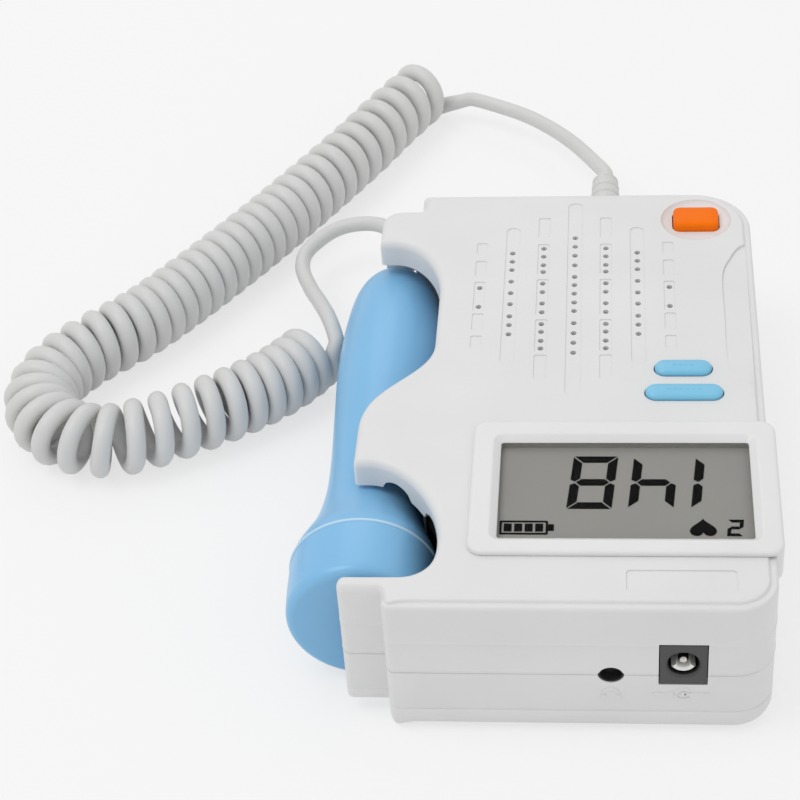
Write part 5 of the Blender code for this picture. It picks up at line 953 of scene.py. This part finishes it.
lens_rings = []
for y, share in ((-65.3, 0.97), (-67.3, 0.97), (-67.2, 0.85), (-65.9, 0.7), (-65.5, 0.6)):
    lens_rings.append(wall_prism(LENS * share + (JACK_X, JACK_Z), y, y)[0])
finished_piece("jack_mouth", np.stack(lens_rings), socket_black, "unit", "black_plastic")


def bent_bar(x, z, radius, first, last, stroke):
    """Outline of a bar bent to an arc about (x, z), seen from the near side."""
    outside = arc(x, z, radius + stroke / 2, first, last, 16)
    return np.vstack([outside, arc(x, z, radius - stroke / 2, last, first, 16)])


marks = [bent_bar(5.9, 11.4, 1.45, -10, 190, 0.4)]
marks += [rounded(x - 0.42, 9.5, x + 0.42, 11.2, 0.3, 4) for x in (4.45, 7.35)]
marks += [rounded(13.9, 11.3, 18.2, 11.7, 0.15, 3), rounded(20.0, 11.3, 24.9, 11.7, 0.15, 3)]
marks += [bent_bar(19.8, 11.5, 1.5, 40, 320, 0.4), rounded(19.3, 11.0, 20.3, 12.0, 0.49, 4)]
socket_marks = cutter("socket_marks", *[skin(wall_prism(mark, -67.4, -67.75)) for mark in marks])
finish(socket_marks, case_plastic, "unit", "case_bottom")

# Underside: battery door, screws and feet
# The door is a flat ABS slide with thumb ridges, its edges held over the ledges of the channel. Four
# self-tapping cross-head screws stand at the bottom of their wells, and four rubber feet are glued in
# shallow seats.
DOOR = (-19.5, 2.0, 16.5, 66.0)
door_section = ((0.4, 0.8), (0.12, 0.9), (0.0, 1.2), (0.0, 2.8))
door_rings = [frame_ring(DOOR, 0.8, -d, z) for d, z in door_section]
battery_slide = new_piece("battery_slide", *skin(np.stack(door_rings)))
tongues = [
    new_piece(f"door_tongue_{k}", *slab(a, 2.3, b, 65.7, 0.1, 1, 2.1, 2.8))
    for k, (a, b) in enumerate(((-20.5, -18.5), (15.5, 17.5)))
]
ridges = [slab(-10.5, y, 7.5, y + 0.9, 0.4, 4, 0.2, 1.25) for y in np.arange(46.0, 58.5, 1.8)]
arrow = skin(prism([(-4.5, 40.0), (1.5, 40.0), (-1.5, 43.5)], 0.2, 1.1))
shape(battery_slide, tongues, "UNION")
shape(battery_slide, [cutter("door_ridges", *ridges, arrow)])
finish(battery_slide, case_plastic, "battery_door", "case_bottom", "battery_door")

steel = plated("zinc_plated_steel", "#B9BABC", 0.32, 0.4)
screw_profile = [(0.1, 11.05), (1.7, 11.05), (2.3, 11.25), (2.62, 11.6), (2.7, 12.0), (2.7, 13.05)]
screw_profile += [(1.35, 13.05)]
screw_profile += [(1.35 - 0.28 * (i % 2), 13.3 + 0.45 * i) for i in range(22)]
screw_profile += [(0.5, 23.6), (0.1, 24.0)]
for k, (x, y) in enumerate(SCREWS):
    screw = new_piece(f"cross_head_screw_{k + 1}", *skin(lathe(screw_profile, (x, y, 0), "Z", 32)))
    slots = [
        new_piece(f"slot_{i}", *box(x - a, y - b, x + a, y + b, 10.8, 12.2))
        for i, (a, b) in enumerate(((1.6, 0.32), (0.32, 1.6)))
    ]
    shape(screw, slots, crease=50)
    finish(screw, steel, "unit", "steel", f"case_screw_{k + 1}")
foot_rubber = moulded("moulded_rubber", "#3A3A3A", 0.75, grain=0.7, depth=0.03, mottle=0.08)
foot = [(0.3, 0.0), (2.8, 0.0), (3.4, 0.06), (3.8, 0.28), (4.0, 0.6), (4.0, 1.6), (0.3, 1.6)]
for k, (x, y) in enumerate(FEET):
    rings = lathe(foot, (x, y, 0), "Z", 40)
    finished_piece(f"rubber_foot_{k + 1}", rings, foot_rubber, "unit", "foot_rubber", f"foot_{k + 1}")

# Inside
# What shows through the grille, the sockets and the open battery bay: circuit boards, tact switches, the
# speaker, the cells and their contacts, and in the probe its crystals. The solids' shapes are right as they
# are.
solder_mask, tree, shader = new_material("glass_epoxy_board", "#2E6B45", 0.35)
# Copper tracks under the green mask, about 0.8 mm wide and 1.6 mm apart, show as slightly lighter lines
place = add_node(tree, "TexCoord").outputs["Object"]
raster = {"Vector": place, "Scale": 1000 / 6.5, "Mortar Size": 0.06}
greens = {"Color1": linear("#2B6541"), "Color2": linear("#2F7048"), "Mortar": linear("#4D8F5E")}
tracks = add_node(tree, "TexBrick", {**raster, **greens})
tree.links.new(tracks.outputs["Color"], shader.inputs["Base Color"])
relief = {"Height": tracks.outputs["Fac"], "Distance": 3e-5, "Strength": 1.0}
tree.links.new(add_node(tree, "Bump", relief).outputs["Normal"], shader.inputs["Normal"])

# A printed film covers the cell from end to end, and its bare ends are metal
sleeve, tree, shader = new_material("printed_cell_sleeve", "#3E4C5C", 0.28)
place = add_node(tree, "TexCoord").outputs["Object"]
along_y = add_node(tree, "SeparateXYZ", {"Vector": place}).outputs["Y"]
bands = add_node(tree, "MapRange", {"Value": along_y, "From Min": 0.004, "From Max": 0.055})
film = ("#B9BABC", (0.04, "#3E4C5C"), (0.2, "#C8813F"), (0.34, "#3E4C5C"), (0.965, "#B9BABC"))
metal = ("#FFFFFF", (0.04, "#000000"), (0.965, "#FFFFFF"))
for socket, (first, *stops) in (("Base Color", film), ("Metallic", metal)):
    ramp = add_node(tree, "ValToRGB", {"Fac": bands.outputs["Result"]})
    ramp.color_ramp.interpolation = "CONSTANT"
    ramp.color_ramp.elements.remove(ramp.color_ramp.elements[1])
    ramp.color_ramp.elements[0].color = linear(first)
    for position, colour in stops:
        ramp.color_ramp.elements.new(position).color = linear(colour)
    tree.links.new(ramp.outputs["Color"], shader.inputs[socket])

basket_steel = plated("pressed_steel_basket", "#A9AAAC", 0.35, 0.8)
inside = {
    solder_mask: ("display_board", "key_board", "main_board", "probe_board"),
    socket_black: ("headphone_jack",),
    basket_steel: ("speaker_basket",),
    sleeve: ("battery_left", "battery_right"),
    nickel: ("battery_link", "battery_terminal_left", "battery_terminal_right"),
    acrylic: ("display_window",),
    cell_grey: ("lcd_glass",),
}
switches = ("power_switch", "small_key_switch", "large_key_switch")
for name, colour, roughness, grain, depth, mottle, names in (
    ("pressed_paper_cone", "#2B2A29", 0.9, 0.9, 0.08, 0.2, ("speaker_cone",)),
    ("sintered_ferrite", "#3B3B3D", 0.55, 0.5, 0.02, 0.12, ("speaker_magnet",)),
    ("conductive_silicone_strip", "#D58F9B", 0.6, 0.4, 0.02, 0.1, ("lcd_strip_near", "lcd_strip_far")),
    ("milk_white_light_guide", "#F2F2EE", 0.3, 1.5, 0.004, 0.01, ("lcd_backlight",)),
    ("moulded_switch_black", "#2C2C2C", 0.5, 0.6, 0.01, 0.08, switches),
    ("silvered_ceramic", "#D9CDAB", 0.35, 0.5, 0.01, 0.05, ("transmit_crystal", "receive_crystal")),
    ("loaded_epoxy_backing", "#4A4A4A", 0.7, 0.6, 0.04, 0.15, ("crystal_backing",)),
    ("moulded_abs_bay", "#D6D6D6", 0.5, 0.6, 0.012, 0.02, ("battery_bay",)),
):
    inside[moulded(name, colour, roughness, grain, depth, mottle)] = names
for material, names in inside.items():
    for name in names:
        nodes[name].data.materials.clear()
        nodes[name].data.materials.append(material)
